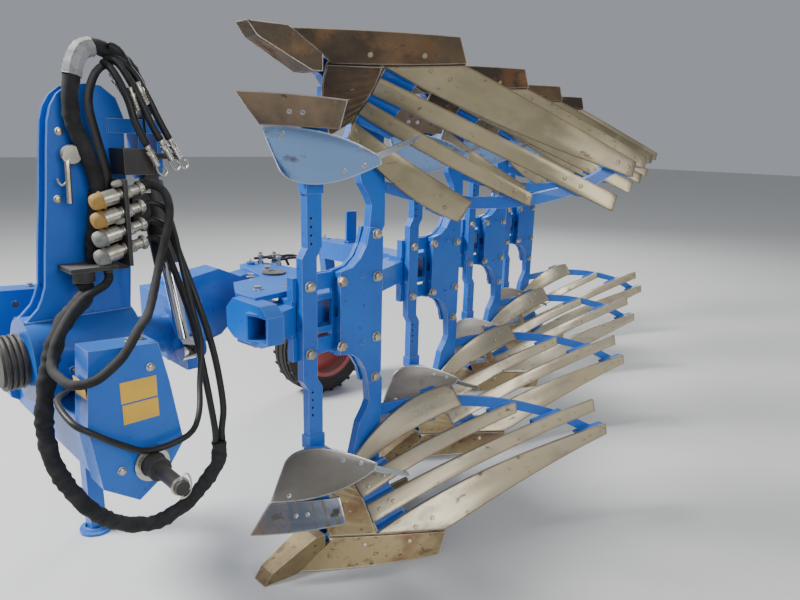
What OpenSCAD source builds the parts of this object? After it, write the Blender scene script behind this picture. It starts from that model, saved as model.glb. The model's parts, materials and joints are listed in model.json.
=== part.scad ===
// Mounted reversible mouldboard plough, four stations, slatted mouldboards.
// Millimetres. +X is the way of travel, +Y is to the left, +Z is up.
// The floor is z = 0 and the turnover axis runs along X at z = axis_height.
// Each station carries a lower body and its mirror image above the axis.

/* [Layout] */
// Height of the turnover axis and of the main beam's centre
axis_height = 943; // [930:1:960]
// Distance along the travel from one station to the next
station_gap = 900; // [880:5:920]
// Distance across the travel from one furrow to the next
furrow_width = 380; // [370:5:390]
// Sideways place of the turnover axis, from the first station's cheek
axis_y = -190; // [-195:1:-185]

/* [Beam] */
// Outer side of the square main beam
beam_side = 100; // [94:1:106]
// Wall of the main beam
beam_wall = 8; // [6:1:12]
// Place along the travel of the beam's open front end
beam_front_x = 334; // [325:1:345]
// Place across the travel of the beam's open front end
beam_front_y = -25; // [-30:1:-22]
// How far the beam runs on behind the last station
beam_tail = 300; // [260:5:340]

/* [Legs] */
// Thickness of a leg and of its frog
leg_thick = 35; // [30:1:40]
// Thickness of a cheek plate
cheek_thick = 15; // [12:1:18]
// Half the height of a cheek's straight front edge
cheek_half = 155; // [145:1:165]
// Depth of a leg at its neck
leg_neck = 67; // [60:1:74]
// Radius of a cheek bolt's hole
cheek_bolt_r = 10; // [8:0.5:12]

/* [Bottoms] */
// Thickness of a mouldboard strip
strip_thick = 10; // [8:1:12]
// Thickness of a share and of a shin
share_thick = 10; // [8:1:12]
// Thickness of a landside
landside_thick = 12; // [10:1:14]
// Width of a share's chisel point
point_width = 66; // [60:1:72]
// Height of a landside
landside_height = 110; // [100:1:120]

/* [Skimmers] */
// Fore-and-aft depth of a skimmer's stalk
stalk_depth = 62; // [56:1:66]
// Thickness of a skimmer's stalk
stalk_thick = 34; // [30:1:36]
// How far the stalk's middle is cranked forward
stalk_crank = 22; // [18:1:26]
// Spacing of the holes in a stalk
stalk_pitch = 29; // [27:1:31]

/* [Headstock] */
// Thickness of a tower plate
tower_thick = 13; // [11:1:16]
// Gap between the two tower plates
tower_gap = 52; // [50:1:60]
// Outer radius of the turnover housing
housing_r = 118; // [110:1:125]
// Radius of the turnover shaft
shaft_r = 65; // [60:1:68]
// Width of a lower link bracket
bracket_width = 82; // [76:1:90]
// Distance between the shoulders of the lower link pins
link_span = 965; // [955:1:975]
// Radius of a lower link pin
link_pin_r = 18.3; // [14:0.1:22]
// Radius of the top link pin
top_pin_r = 15.9; // [12:0.1:16.5]
// Side of the square cross beam
cross_side = 135; // [125:1:145]

/* [Stand and wheel] */
// Side of the stand's square leg
stand_side = 60; // [50:1:70]
// Radius of the stand's round foot
stand_foot_r = 63; // [55:1:70]
// Radius of the depth wheel's tyre
tyre_r = 310; // [290:1:320]
// Width of the depth wheel's tyre
tyre_width = 190; // [170:1:210]
// Radius of the depth wheel's rim
rim_r = 190; // [170:1:200]

/* [Hidden] */
$fn = 64;
stations = 4;
seat = 0.3;
stay_thick = 14;
stay_behind = 30;
pad_thick = 24;
rib_thick = 12;
blue = "royalblue";
steel = "tan";

// Places that the rest is worked out from
beam_turn = atan2(furrow_width, station_gap);
beam_length = norm([station_gap, furrow_width]) * (stations - 1) + beam_front_x + beam_tail;
beam_half = beam_side / 2;
leg_y = -cheek_thick - seat;
stalk_x = 141;
skim_thick = 9;
clamp_proud = 5;
console_thick = 20;
console_top = beam_half + seat + console_thick;
arm_lug_thick = 18;
board_bend = 0.34;
board_lean = 0.6;
lean_from = 100;
lean_end = -850;
lean_full = 130;
skim_bend = 0.6;

// Headstock places, seen from the side
housing_rear = 690;
housing_front = 985;
union_length = 65;
union_r = 76;
tower_low = axis_height - housing_r;
cross_x = 792;
cross_top = tower_low - seat;
cross_low = cross_top - cross_side;
bracket_inner = link_span / 2 - 52.5 - bracket_width;
bracket_outer = bracket_inner + bracket_width;
link_pin_x = 827;
link_pin_z = axis_height - 199;
link_pin_length = 120;
top_pin_x = 830;
top_pin_z = axis_height + 559;
tower_outer = tower_gap / 2 + tower_thick;
rack_y = axis_y + tower_outer;
coupler_tilt = 75;
coupler_r = 15;
coupler_length = 130;
coupler_pitch = 50;
coupler_start = [800, rack_y + 101, axis_height + 439];
function coupler_end(k, beyond = 0) =
    coupler_start - [0, 0, coupler_pitch * k]
    + (coupler_length + beyond) * [-sin(coupler_tilt), 0, cos(coupler_tilt)];

// Turnover cylinder, in the plane across the travel at cylinder_x
cylinder_x = 600;
anchor_z = axis_height + 527;
crank_reach = 190;
cylinder_lean = atan2(crank_reach, anchor_z - axis_height);
cylinder_length = norm([crank_reach, anchor_z - axis_height]);
barrel_r = 38;
rod_r = 20;
barrel_end = 300;
barrel_top = 55;
eye_r = 34;
eye_width = 40;
anchor_pin_r = 14.7;
crank_front = cylinder_x - eye_width / 2 - 6;
crank_thick = 24;

// Stand and depth wheel
stand_x = 664;
stand_y = -748;
stand_pivot_z = axis_height - 173;
stand_pin_r = 14;
stand_tongue = 24;
stand_ear = 18;
wheel_x = -954;
wheel_y = -1351;
wheel_pivot_x = -870;
wheel_arm_y = wheel_y + tyre_width / 2 + 55;
wheel_axle_r = 30;

// Model box, for the origin under its middle
front_end = housing_front + union_length;
rear_end = -station_gap * (stations - 1) - 940;
left_end = 602;
right_end = beam_front_y - beam_length * sin(beam_turn) - beam_half * cos(beam_turn);
origin_x = (front_end + rear_end) / 2;
origin_y = (left_end + right_end) / 2;

// Mouldboard strips as seen from the side: the low and the top edge of each,
// as three [x, z] points that a smooth edge runs through
// [low start, low middle, low end, top start, top middle, top end]
// The last strip leaves the common surface, so its points are [x, z, y].
STRIPS = [
    [[-272, 86], [-637, 231], [-940, 386], [-46, 102], [-512, 290], [-914, 442]],
    [[-51, 132], [-475, 309], [-851, 509], [-59, 182], [-477, 370], [-827, 567]],
    [[-59, 204], [-334, 349], [-597, 509], [-56, 243], [-321, 395], [-591, 554]],
    [[-56, 268, -2], [-250, 393, 58], [-428, 541, 232],
        [-34, 322, -2], [-262, 515, 46], [-412, 620, 188]]
];
SHARE = [[226, 6], [0, 3], [-232, 3], [88, 98], [-93, 93], [-275, 80]];
SHIN = [[-38, 103], [-54, 182], [-46, 272], [100, 103], [66, 219], [28, 318]];
// Seats of the strips: which strip, first and last section of eight
STRIP_SEATS = [
    [0, 0, 1], [0, 7, 8], [1, 0, 1], [1, 6, 7], [2, 0, 2], [2, 7, 8], [3, 0, 1], [3, 6, 7]
];
// Ribs of the frog: height, front and rear at the stay, front and rear at the leg
FROG_RIBS = [
    [70, 90, -190, 130, -250], [200, -15, -150, -15, -230],
    [285, -125, -180, -125, -200]
];
FROG_FACE = [[-200, 30], [-170, 210], [-190, 325], [110, 45], [5, 205], [-45, 262]];
TAIL_STAY = [[-203, 470], [-540, 522], [-862, 400], [-218, 515], [-545, 565], [-880, 430]];
SKIM_BOARD = [[302, 293], [130, 312], [-25, 380], [236, 425], [136, 474], [-35, 404]];
SKIM_BLADE = [[385, 194], [255, 198], [106, 210], [306, 290], [211, 294], [105, 298]];
SKIM_STAY = [[190, 225], [160, 232], [130, 240], [190, 440], [150, 448], [110, 440]];

// Hose routes, [x, y, z]. The first two points of a route that starts at a
// coupler lie on the coupler's axis.
SLEEVE_ROUTE = [
    [842, -80, 1165], [842, -80, 1125], [930, 0, 1080], [975, 25, 1000], [1000, 30, 900],
    [1008, 30, 820], [1000, 30, 735], [975, 30, 655], [925, 30, 560], [865, 30, 492],
    [795, 30, 450], [725, 35, 437], [635, 45, 475], [565, 70, 560], [548, 75, 610], [548, 75, 650]
];
BUNDLE_ROUTE = [
    [606, -165, 1600.3], [606, -165, 1660], [650, -150, 1740], [705, -140, 1775], [762, -130, 1780],
    [800, -122, 1740], [818, -118, 1670], [820, -118, 1590], [793, -118, 1510], [770, -118, 1420],
    [784, -118, 1320], [796, -118, 1255], [796, -118, 1207.3]
];
FRONT_LOOP_ROUTE = [
    coupler_end(0), coupler_end(0, 25), [625, -20, 1400], [640, 30, 1340], [690, 65, 1230],
    [765, 150, 1120], [830, 232, 1100], [885, 266, 1052], [945, 268, 1010], [990, 245, 998],
    [1000, 180, 997], [998, 110, 1010], [965, 65, 1065], [890, 10, 1130], [800, -60, 1150], [778, -75, 1165], [778, -75, 1185]
];
THIN_LOOP_ROUTE = [
    coupler_end(1), coupler_end(1, 25), [622, -30, 1355], [625, 20, 1300], [630, 70, 1200],
    [622, 100, 1090], [610, 115, 990], [637, 150, 894], [680, 220, 830], [735, 262, 798],
    [838, 264, 790], [909, 264, 830], [972, 264, 880], [1003, 235, 905], [1000, 130, 925],
    [945, 40, 915], [900, -10, 930], [900, -50, 930]
];
thin_end = THIN_LOOP_ROUTE[len(THIN_LOOP_ROUTE) - 1];
PAIR_LOW_ROUTE = [
    coupler_end(3), coupler_end(3, 25), [630, -35, 1255], [625, -5, 1200], [612, 40, 1100],
    [598, 60, 1012], [572, 60, 850], [559, 75, 700], [559, 75, 650]
];
PAIR_HIGH_ROUTE = [
    coupler_end(2), coupler_end(2, 25), [618, -25, 1295], [610, 15, 1230], [590, 80, 1080],
    [566, 88, 982], [545, 85, 880], [530, 80, 760], [536, 75, 690], [536, 75, 650]
];

// Shapes that repeat

// A plate in the XZ plane, from y to y + thick
module plate_xz(points, y, thick)
    translate([0, y + thick, 0])
        rotate([90, 0, 0])
            linear_extrude(thick)
                polygon(points);

// A plate in the YZ plane, from x to x + thick
module plate_yz(points, x, thick)
    translate([x, 0, 0])
        rotate([90, 0, 90])
            linear_extrude(thick)
                polygon(points);

// A plate in the XY plane, from z to z + thick
module plate_xy(points, z, thick)
    translate([0, 0, z])
        linear_extrude(thick)
            polygon(points);

module rod_x(r, x0, x1, y, z)
    translate([x0, y, z])
        rotate([0, 90, 0])
            cylinder(r = r, h = x1 - x0);

module rod_y(r, y0, y1, x, z)
    translate([x, y1, z])
        rotate([90, 0, 0])
            cylinder(r = r, h = y1 - y0);

module rod_z(r, z0, z1, x, y)
    translate([x, y, z0])
        cylinder(r = r, h = z1 - z0);

module block(low, high)
    translate(low)
        cube(high - low);

// Puts a lower piece and its mirror image above the axis
module both_sets() {
    children();
    translate([0, 0, 2 * axis_height])
        mirror([0, 0, 1])
            children();
}

// Puts a piece at its station, and its mirror image above the axis
module at_station(number)
    translate([-station_gap * (number - 1), -furrow_width * (number - 1), 0])
        both_sets()
            children();

// Turns a piece drawn along -X into the line of the beam
module along_beam(x)
    translate([x, beam_front_y + (x - beam_front_x) * tan(beam_turn), axis_height])
        rotate([0, 0, beam_turn])
            children();

// The working surfaces: the leading edge at a height, and the place across the travel
function shin_x(z) = 320 - 1.25 * z + 0.0011 * z * z;
function board_slope(z) = 0.84 + 0.00043 * (z - 80);
function board_y(x, z) =
    let (
        back = shin_x(z) - x,
        lean = board_lean * max(0, z - lean_from) * (x - lean_end) / 1000
    )
    -30 + board_slope(z) * back - board_bend * back * back / 1000
        - lean * min(1, max(0, back) / lean_full);
function skim_x(z) = 372 - 0.9 * (z - 198) + 0.0012 * (z - 198) * (z - 198);
function skim_y(x, z) =
    let (back = skim_x(z) - x)
    -20 + 0.85 * back - skim_bend * back * back / 1000;
function face_y(p, skim) =
    len(p) == 3 ? p[2] : skim ? skim_y(p[0], p[1]) : board_y(p[0], p[1]);

// A point on a smooth edge through three points
function on_edge(a, b, c, t) =
    a * (1 - t) * (1 - 2 * t) + b * 4 * t * (1 - t) + c * t * (2 * t - 1);

// One section of a blade: low front, top front, top back, low back
function blade_section(e, t, thick, behind, skim) =
    let (
        low = on_edge(e[0], e[1], e[2], t),
        top = on_edge(e[3], e[4], e[5], t),
        p = [low[0], face_y(low, skim) - behind, low[1]],
        q = [top[0], face_y(top, skim) - behind, top[1]],
        back = [0, -thick, 0]
    )
    [p, q, q + back, p + back];

// Faces of a tube of rings, each with so many corners, closed at both ends. The
// turned side is split along its other diagonal, so a blade's back is parallel to
// its front and the pads behind it are parallel to both.
function ring_faces(rings, corners, turned = -1) = concat(
    [[for (k = [corners - 1:-1:0]) k]],
    [for (i = [0:rings - 2], k = [0:corners - 1], half = [0, 1])
        let (a = i * corners + k, b = i * corners + (k + 1) % corners)
        k == turned
            ? (half == 0 ? [a, b, a + corners] : [b, b + corners, a + corners])
            : (half == 0 ? [a, b, b + corners] : [a, b + corners, a + corners])],
    [[for (k = [0:corners - 1]) (rings - 1) * corners + k]]
);

// A plate that follows a working surface, or the part of it between two sections
module blade(edges, thick, behind = 0, skim = false, steps = 8, part = [0, 8]) {
    points = [for (i = [part[0]:part[1]])
        each blade_section(edges, i / steps, thick, behind, skim)];
    polyhedron(points, ring_faces(part[1] - part[0] + 1, 4, 2), convexity = 6);
}

// A point of a smooth cord that runs through its route's points
function cord_point(route, i, t) =
    let (
        last = len(route) - 1,
        p0 = route[max(i - 1, 0)],
        p1 = route[i],
        p2 = route[min(i + 1, last)],
        p3 = route[min(i + 2, last)]
    )
    0.5 * (2 * p1 + (p2 - p0) * t + (2 * p0 - 5 * p1 + 4 * p2 - p3) * t * t
        + (3 * p1 - p0 - 3 * p2 + p3) * t * t * t);

function cord_line(route, parts) = concat(
    [for (i = [0:len(route) - 2], k = [0:parts - 1]) cord_point(route, i, k / parts)],
    [route[len(route) - 1]]
);

// A hose as a tube; side is a direction that the route never runs along
module cord(route, radius, side, parts = 2, corners = 8) {
    line = cord_line(route, parts);
    last = len(line) - 1;
    points = [for (i = [0:last])
        let (
            run = i == 0 ? route[1] - route[0]
                : i == last ? route[len(route) - 1] - route[len(route) - 2]
                : line[i + 1] - line[i - 1],
            across = cross(run, side) / norm(cross(run, side)),
            up = cross(across, run) / norm(run)
        )
        for (k = [0:corners - 1])
            line[i] + radius * (across * cos(360 * k / corners) + up * sin(360 * k / corners))
    ];
    polyhedron(points, ring_faces(last + 1, corners), convexity = 6);
}

// Headstock

// One tower plate from the side: x, and height above the axis
TOWER_OUTLINE = [
    [700, 0], [985, 0], [985, 108], [972, 118], [944, 146], [932, 170], [920, 205], [910, 306],
    [894, 440], [881, 570], [872, 646], [861, 684], [843, 714], [815, 737], [770, 745],
    [729, 743], [690, 712], [672, 660], [680, 430], [684, 226], [698, 49]
];

function raised(points) = [for (p = points) [p[0], axis_height + p[1]]];

module tower() color(blue) {
    for (y = [axis_y - tower_outer, axis_y + tower_gap / 2])
        difference() {
            plate_xz(raised(TOWER_OUTLINE), y, tower_thick);
            rod_x(housing_r + seat, housing_rear - 1, housing_front + 1, axis_y, axis_height);
            rod_y(top_pin_r + seat, y - 1, y + tower_thick + 1, top_pin_x, top_pin_z);
        }
    // Bridges between the plates, with the cylinder's anchor lugs behind them
    across = tower_gap / 2 + 2;
    block([715, axis_y - across, axis_height + 617], [760, axis_y + across, axis_height + 697]);
    block([712, axis_y - across, axis_height + 297], [730, axis_y + across, axis_height + 477]);
    block([565, axis_y - 45, axis_height + 617], [720, axis_y + 45, axis_height + 657]);
    for (x = [cylinder_x - eye_width / 2 - 15, cylinder_x + eye_width / 2]) {
        block([x, axis_y - 40, anchor_z], [x + 15, axis_y + 40, axis_height + 619]);
        rod_x(40, x, x + 15, axis_y, anchor_z);
    }
    rod_x(anchor_pin_r, cylinder_x - eye_width / 2 - 22, cylinder_x + eye_width / 2 + 22,
        axis_y, anchor_z);
}

module turnover_housing() color(blue)
    difference() {
        union() {
            rod_x(housing_r, housing_rear, housing_front, axis_y, axis_height);
            // Elbow of the thin loop
            rod_y(11, axis_y + housing_r - 20, thin_end[1], thin_end[0], thin_end[2]);
        }
        rod_x(shaft_r + seat, housing_rear - 1, housing_front + 1, axis_y, axis_height);
    }

module rotary_union() color("dimgray") {
    union_front = housing_front + union_length;
    rod_x(shaft_r, housing_front + seat, union_front, axis_y, axis_height);
    for (x = [housing_front + 8:14:union_front - 10])
        rod_x(union_r, x, x + 8, axis_y, axis_height);
}

module cross_beam() color(blue)
    difference() {
        block([cross_x, axis_y - bracket_inner + seat, cross_low],
            [cross_x + cross_side, axis_y + bracket_inner - seat, cross_top]);
        block([cross_x + 12, axis_y - bracket_inner - 1, cross_low + 12],
            [cross_x + cross_side - 12, axis_y + bracket_inner + 1, cross_top - 12]);
    }

// One lower link bracket from the side: x, and height above the axis
BRACKET_OUTLINE = [
    [955, 127], [788, 116], [765, 9], [737, -166], [790, -243], [863, -292], [949, -230],
    [972, -63]
];

module bracket() {
    difference() {
        plate_xz(raised(BRACKET_OUTLINE), bracket_inner, bracket_width);
        rod_y(12, bracket_inner - 1, bracket_outer + 1, 905, axis_height + 77);
    }
}

// The stand hangs from an arm on the right bracket
module stand_holder() {
    for (side = [-1, 1])
        translate([stand_x + side * (stand_tongue / 2 + seat + stand_ear / 2), 0, 0])
            union() {
                block([-stand_ear / 2, stand_y, stand_pivot_z - 28],
                    [stand_ear / 2, stand_y + 40, stand_pivot_z + 32]);
                rod_x(30, -stand_ear / 2, stand_ear / 2, stand_y, stand_pivot_z);
            }
    rod_x(stand_pin_r, stand_x - 40, stand_x + 40, stand_y, stand_pivot_z);
    block([stand_x - stand_tongue / 2 - stand_ear, stand_y + 38, stand_pivot_z - 28],
        [770, axis_y - bracket_outer + 2, stand_pivot_z + 32]);
}

module link_brackets() color(blue) {
    translate([0, axis_y, 0])
        for (side = [0, 1])
            mirror([0, side, 0])
                bracket();
    stand_holder();
}

module link_pins() color("dimgray")
    translate([0, axis_y, 0])
        for (side = [0, 1])
            mirror([0, side, 0])
                union() {
                    rod_y(30, bracket_outer + seat, link_span / 2, link_pin_x, link_pin_z);
                    rod_y(link_pin_r, link_span / 2 - 1, link_span / 2 + link_pin_length,
                        link_pin_x, link_pin_z);
                }

module top_link_pin() color("silver") {
    rod_y(top_pin_r, axis_y - tower_outer - 20, axis_y + tower_outer + 12, top_pin_x, top_pin_z);
    rod_y(22, axis_y + tower_outer + seat, axis_y + tower_outer + 22, top_pin_x, top_pin_z);
}

// Four couplers, one above the other, that slope up to the back
module at_couplers()
    for (k = [0:3])
        translate(coupler_start - [0, 0, coupler_pitch * k])
            rotate([0, -coupler_tilt, 0])
                children();

module coupler_rack() color("black") {
    block([690, rack_y + seat, axis_height + 232], [790, rack_y + 9, axis_height + 457]);
    difference() {
        block([728, rack_y + 8, axis_height + 262], [738, rack_y + 133, axis_height + 497]);
        at_couplers()
            cylinder(r = coupler_r + seat, h = coupler_length);
    }
    // Clamp that the hose sleeve and the front loop come out of
    sleeve_top = SLEEVE_ROUTE[0];
    loop_top = FRONT_LOOP_ROUTE[len(FRONT_LOOP_ROUTE) - 1];
    block([760, rack_y + seat, loop_top[2] + 10], [884, rack_y + 103, loop_top[2] + 22]);
    rod_z(29, sleeve_top[2], loop_top[2] + 11, sleeve_top[0], sleeve_top[1]);
    rod_z(13, loop_top[2], loop_top[2] + 11, loop_top[0], loop_top[1]);
}

module couplers() color("silver")
    at_couplers()
        union() {
            cylinder(r = 21, h = 52);
            cylinder(r = coupler_r, h = coupler_length);
        }

module hose_arm() color("black") {
    block([640, rack_y + seat, axis_height + 507], [720, rack_y + 101, axis_height + 577]);
    rod_x(9, 560, 641, rack_y + 71, axis_height + 557);
}

// Turnover cylinder: drawn hanging from its anchor, leaning to the crank's side
module hang_cylinder()
    translate([cylinder_x, axis_y, anchor_z])
        rotate([cylinder_lean, 0, 0])
            children();

module cylinder_barrel() color("black")
    hang_cylinder()
        difference() {
            union() {
                rod_x(eye_r, -eye_width / 2 + seat, eye_width / 2 - seat, 0, 0);
                rod_z(barrel_r, -barrel_end, -barrel_top, 0, 0);
                block([-eye_width / 2 + seat, -24, -barrel_top - 1], [eye_width / 2 - seat, 24, 0]);
            }
            rod_x(anchor_pin_r + seat, -eye_width, eye_width, 0, 0);
            rod_z(rod_r + seat, -barrel_end - 1, -barrel_top - 12, 0, 0);
        }

module cylinder_rod() color("silver")
    hang_cylinder()
        union() {
            rod_z(rod_r, -cylinder_length + 20, -barrel_end + 6, 0, 0);
            rod_x(eye_r, -eye_width / 2, eye_width / 2, 0, -cylinder_length);
        }

module stand() color(blue)
    difference() {
        union() {
            block([stand_x - stand_side / 2, stand_y - stand_side / 2, 12],
                [stand_x + stand_side / 2, stand_y + stand_side / 2, stand_pivot_z - 62]);
            block([stand_x - stand_tongue / 2, stand_y - 28, stand_pivot_z - 70],
                [stand_x + stand_tongue / 2, stand_y + 28, stand_pivot_z]);
            rod_x(28, stand_x - stand_tongue / 2, stand_x + stand_tongue / 2,
                stand_y, stand_pivot_z);
            rod_z(stand_foot_r, 0, 12, stand_x, stand_y);
        }
        rod_x(stand_pin_r + seat, stand_x - 60, stand_x + 60, stand_y, stand_pivot_z);
    }

// Turning frame

module turnover_shaft() color(blue) {
    rod_x(shaft_r, crank_front - crank_thick - 1, housing_front, axis_y, axis_height);
    // Crank with its boss, reaching left to the cylinder's eye
    rod_x(34, crank_front - crank_thick, crank_front, axis_y + crank_reach, axis_height);
    plate_yz([[axis_y, axis_height - 95], [axis_y + crank_reach, axis_height - 34],
        [axis_y + crank_reach, axis_height + 34], [axis_y, axis_height + 95]],
        crank_front - crank_thick, crank_thick);
    // Yoke across the travel, behind the crank
    block([490, axis_y - 235, axis_height - 110],
        [crank_front - crank_thick, axis_y + 90, axis_height + 110]);
}

arm_half = 128;
arm_pin_r = 18;
beam_pin_r = 24;
ARM_LINE = [[490 - seat, axis_y - 235], [490 - seat, axis_y - 110], [10, -560], [-30, -660]];
module swing_arm() color(blue)
    difference() {
        intersection() {
            plate_xy(ARM_LINE, axis_height - arm_half, 2 * arm_half);
            plate_xz([[490, axis_height - arm_half], [490, axis_height + arm_half],
                [240, axis_height + arm_half], [110, axis_height + console_top],
                [-40, axis_height + console_top], [-40, axis_height - console_top],
                [110, axis_height - console_top], [240, axis_height - arm_half]], -700, 600);
        }
        rod_z(arm_pin_r + seat, axis_height - 200, axis_height + 200, -5, -610);
    }

// The beam's nose, seen from the front, and a console plate, seen from above
nose_x = 270;
NOSE = raised([[-224, -38], [-224, 38], [-180, 79], [-10, 79], [29, 47], [29, -47], [-10, -63],
    [-180, -63]]);
CONSOLE = [[300, -95], [310, -200], [230, -350], [90, -380], [30, -640], [-70, -660],
    [-140, -270], [-60, -170], [100, -120]];

module main_beam() color(blue) {
    along_beam(beam_front_x)
        difference() {
            block([-beam_length, -beam_half, -beam_half], [0, beam_half, beam_half]);
            block([-beam_length - 1, -beam_half + beam_wall, -beam_half + beam_wall],
                [1, beam_half - beam_wall, beam_half - beam_wall]);
        }
    // Six-sided plate round the beam's open front
    difference() {
        plate_yz(NOSE, nose_x, beam_front_x - nose_x);
        along_beam(beam_front_x)
            block([-beam_side * 2, -beam_half + beam_wall, -beam_half + beam_wall],
                [beam_side, beam_half - beam_wall, beam_half - beam_wall]);
    }
    // Lug plates to the swing arm, outside the first carrier's plates
    for (z = [axis_height + console_top + seat, axis_height - console_top - seat - arm_lug_thick])
        plate_xy(CONSOLE, z, arm_lug_thick);
    // Pivot through beam, carrier and lugs
    rod_z(beam_pin_r, axis_height - console_top - 40, axis_height + console_top + 40, 0, -180);
    rod_z(arm_pin_r, axis_height - console_top - 30, axis_height + console_top + 30, -5, -610);
}

function beam_y(x) = beam_front_y + (x - beam_front_x) * tan(beam_turn);
function beam_right(x) = beam_y(x) - beam_half / cos(beam_turn) - seat;

// Stations

CHEEK_HALF_OUTLINE = [
    [5, 0], [5, cheek_half], [-50, cheek_half + 10], [-90, cheek_half + 40],
    [-118, cheek_half + 85], [-135, cheek_half + 148], [-160, cheek_half + 148],
    [-200, cheek_half + 110], [-200, 0]
];

function lowered(points) = [for (p = points) [p[0], axis_height - p[1]]];

module cheek(y) {
    difference() {
        plate_xz(lowered(CHEEK_HALF_OUTLINE), y, cheek_thick);
        for (p = [[0, 121], [-170, 118]])
            rod_y(cheek_bolt_r, y - 1, y + cheek_thick + 1, p[0], axis_height - p[1]);
    }
}

module carrier() color(blue) {
    cheek(-cheek_thick);
    cheek(-2 * cheek_thick - leg_thick - 2 * seat);
    // Console plate under the beam, which carries the far cheek
    difference() {
        plate_xy([[190, -40], [95, -40], [95, -52], [-195, -52], [-195, -260], [60, -200],
            [190, -120]],
            axis_height - console_top, console_thick);
        rod_z(beam_pin_r + seat, axis_height - 200, axis_height, 0, -180);
    }
    // Holder of the skimmer's stalk
    block([95, -2 * cheek_thick - leg_thick - 2 * seat, axis_height - 150],
        [190, -stalk_thick - seat, axis_height - console_top + 2]);
    block([-20, -2 * cheek_thick - leg_thick - 2 * seat, axis_height - 150],
        [96, -cheek_thick - leg_thick - 2 * seat, axis_height - 90]);
}

leg_rear_x = -221;
LEG_OUTLINE = [
    [-6, 20], [-6, cheek_half - 8], [-60, cheek_half + 8], [-98, cheek_half + 40],
    [-125, cheek_half + 90], [-146, cheek_half + 150], [leg_rear_x + leg_neck, cheek_half + 228]
];
LEG_REAR = [[leg_rear_x, cheek_half + 228], [leg_rear_x, cheek_half + 150], [-196, cheek_half + 110], [-196, 20]];
FROG_FRONT = [[-140, 530], [-105, 480], [-84, 400], [-66, 335], [-56, 275], [-30, 235], [25, 190],
    [75, 128], [118, 103.6],
    [215, 56], [215, 40]];
FROG_REAR = [[-250, 40], [-262, 120], [-225, 230], [-205, 360], [-217, 470]];

// A level rib from the leg to the stays behind the working surface
module frog_rib(z, front, rear, root_front, root_rear) {
    root = leg_y - 5;
    plate_xy(concat(
        [for (k = [0:4]) let (x = front + (rear - front) * k / 4)
            [x, board_y(x, z + rib_thick / 2) - stay_behind - 6]],
        [[root_rear, root], [root_front, root]]), z, rib_thick);
}

module leg() {
    y = leg_y - leg_thick;
    difference() {
        plate_xz(concat(lowered(LEG_OUTLINE), FROG_FRONT, FROG_REAR, lowered(LEG_REAR)),
            y, leg_thick);
        for (p = [[0, 121], [-170, 118]])
            rod_y(cheek_bolt_r, y - 1, y + leg_thick + 1, p[0], axis_height - p[1]);
    }
    blade(FROG_FACE, stay_thick, behind = stay_behind);
    blade(TAIL_STAY, stay_thick, behind = stay_behind);
    for (r = FROG_RIBS)
        frog_rib(r[0], r[1], r[2], r[3], r[4]);
    // Seats that the strips, the share and the shin are bolted to
    for (s = STRIP_SEATS)
        blade(STRIPS[s[0]], pad_thick, behind = strip_thick + seat, part = [s[1], s[2]]);
    for (part = [[2, 3], [5, 6]])
        blade(SHARE, pad_thick, behind = share_thick + seat, part = part);
    blade(SHIN, pad_thick, behind = share_thick + seat, part = [2, 5]);
}

module legs() color(blue)
    leg();

// Chisel point, with the wing that fills the corner in front of the share
POINT_SIDE = [[365, 0], [334, 40], [160, 124], [118, 124], [118, 104], [330, 0]];
WING_SIDE = [[365, 0], [334, 40], [160, 124], [125, 124], [125, 73.9], [226, 6.6], [236, 0]];
WING_PLAN = [[365, 10], [365, 14], [226, 37], [125, 58.7], [125, 10]];

module point_bar() {
    plate_xz(POINT_SIDE, leg_y - leg_thick, point_width);
    intersection() {
        plate_xz(WING_SIDE, 0, point_width);
        plate_xy(WING_PLAN, 0, 2 * landside_height);
    }
}

module landside() {
    plate_xz([[150, 2], [150, 60], [120, landside_height], [-420, landside_height], [-450, 2]],
        leg_y - leg_thick - seat - landside_thick, landside_thick);
}

module shares() color(steel) {
    blade(SHARE, share_thick);
    blade(SHIN, share_thick);
    point_bar();
    landside();
}

module strips() color(steel)
    for (edges = STRIPS)
        blade(edges, strip_thick);

module stalk() color(blue) {
    mid = stalk_x;
    half = stalk_depth / 2;
    end = 486;
    difference() {
        plate_xz([
            [mid + half, axis_height], [mid + half, axis_height - 220],
            [mid + half - stalk_crank, axis_height - 255], [mid + half - stalk_crank, axis_height - end],
            [mid - half - stalk_crank, axis_height - end], [mid - half - stalk_crank, axis_height - 255],
            [mid - half, axis_height - 220], [mid - half, axis_height]
        ], -stalk_thick, stalk_thick);
        for (k = [0:3])
            rod_y(6, -stalk_thick - 1, 1, mid - 8, axis_height - 268 - stalk_pitch * k);
        rod_y(9, -stalk_thick - 1, 1, mid - 11, axis_height - 124);
    }
    back = mid - half - stalk_crank;
    front = mid + half - stalk_crank;
    // Clamp at the stalk's end
    block([back - clamp_proud, -stalk_thick - clamp_proud, axis_height - end],
        [front + clamp_proud, clamp_proud, axis_height - end + 50]);
    // Wedge that the skimmer's board is bolted to
    plate_xy([[front, -1], [front, skim_y(front, 440) - stay_behind],
        [back, skim_y(back, 440) - stay_behind], [back, -1]], 400, 60);
    blade(SKIM_STAY, stay_thick, behind = stay_behind, skim = true);
    blade(SKIM_BOARD, pad_thick, behind = skim_thick + seat, skim = true, part = [3, 5]);
    blade(SKIM_BLADE, pad_thick, behind = skim_thick + seat, skim = true, part = [3, 5]);
}

module skimmers() color("slategray") {
    blade(SKIM_BOARD, skim_thick, skim = true);
    blade(SKIM_BLADE, skim_thick, skim = true);
}

// Depth wheel

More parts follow.
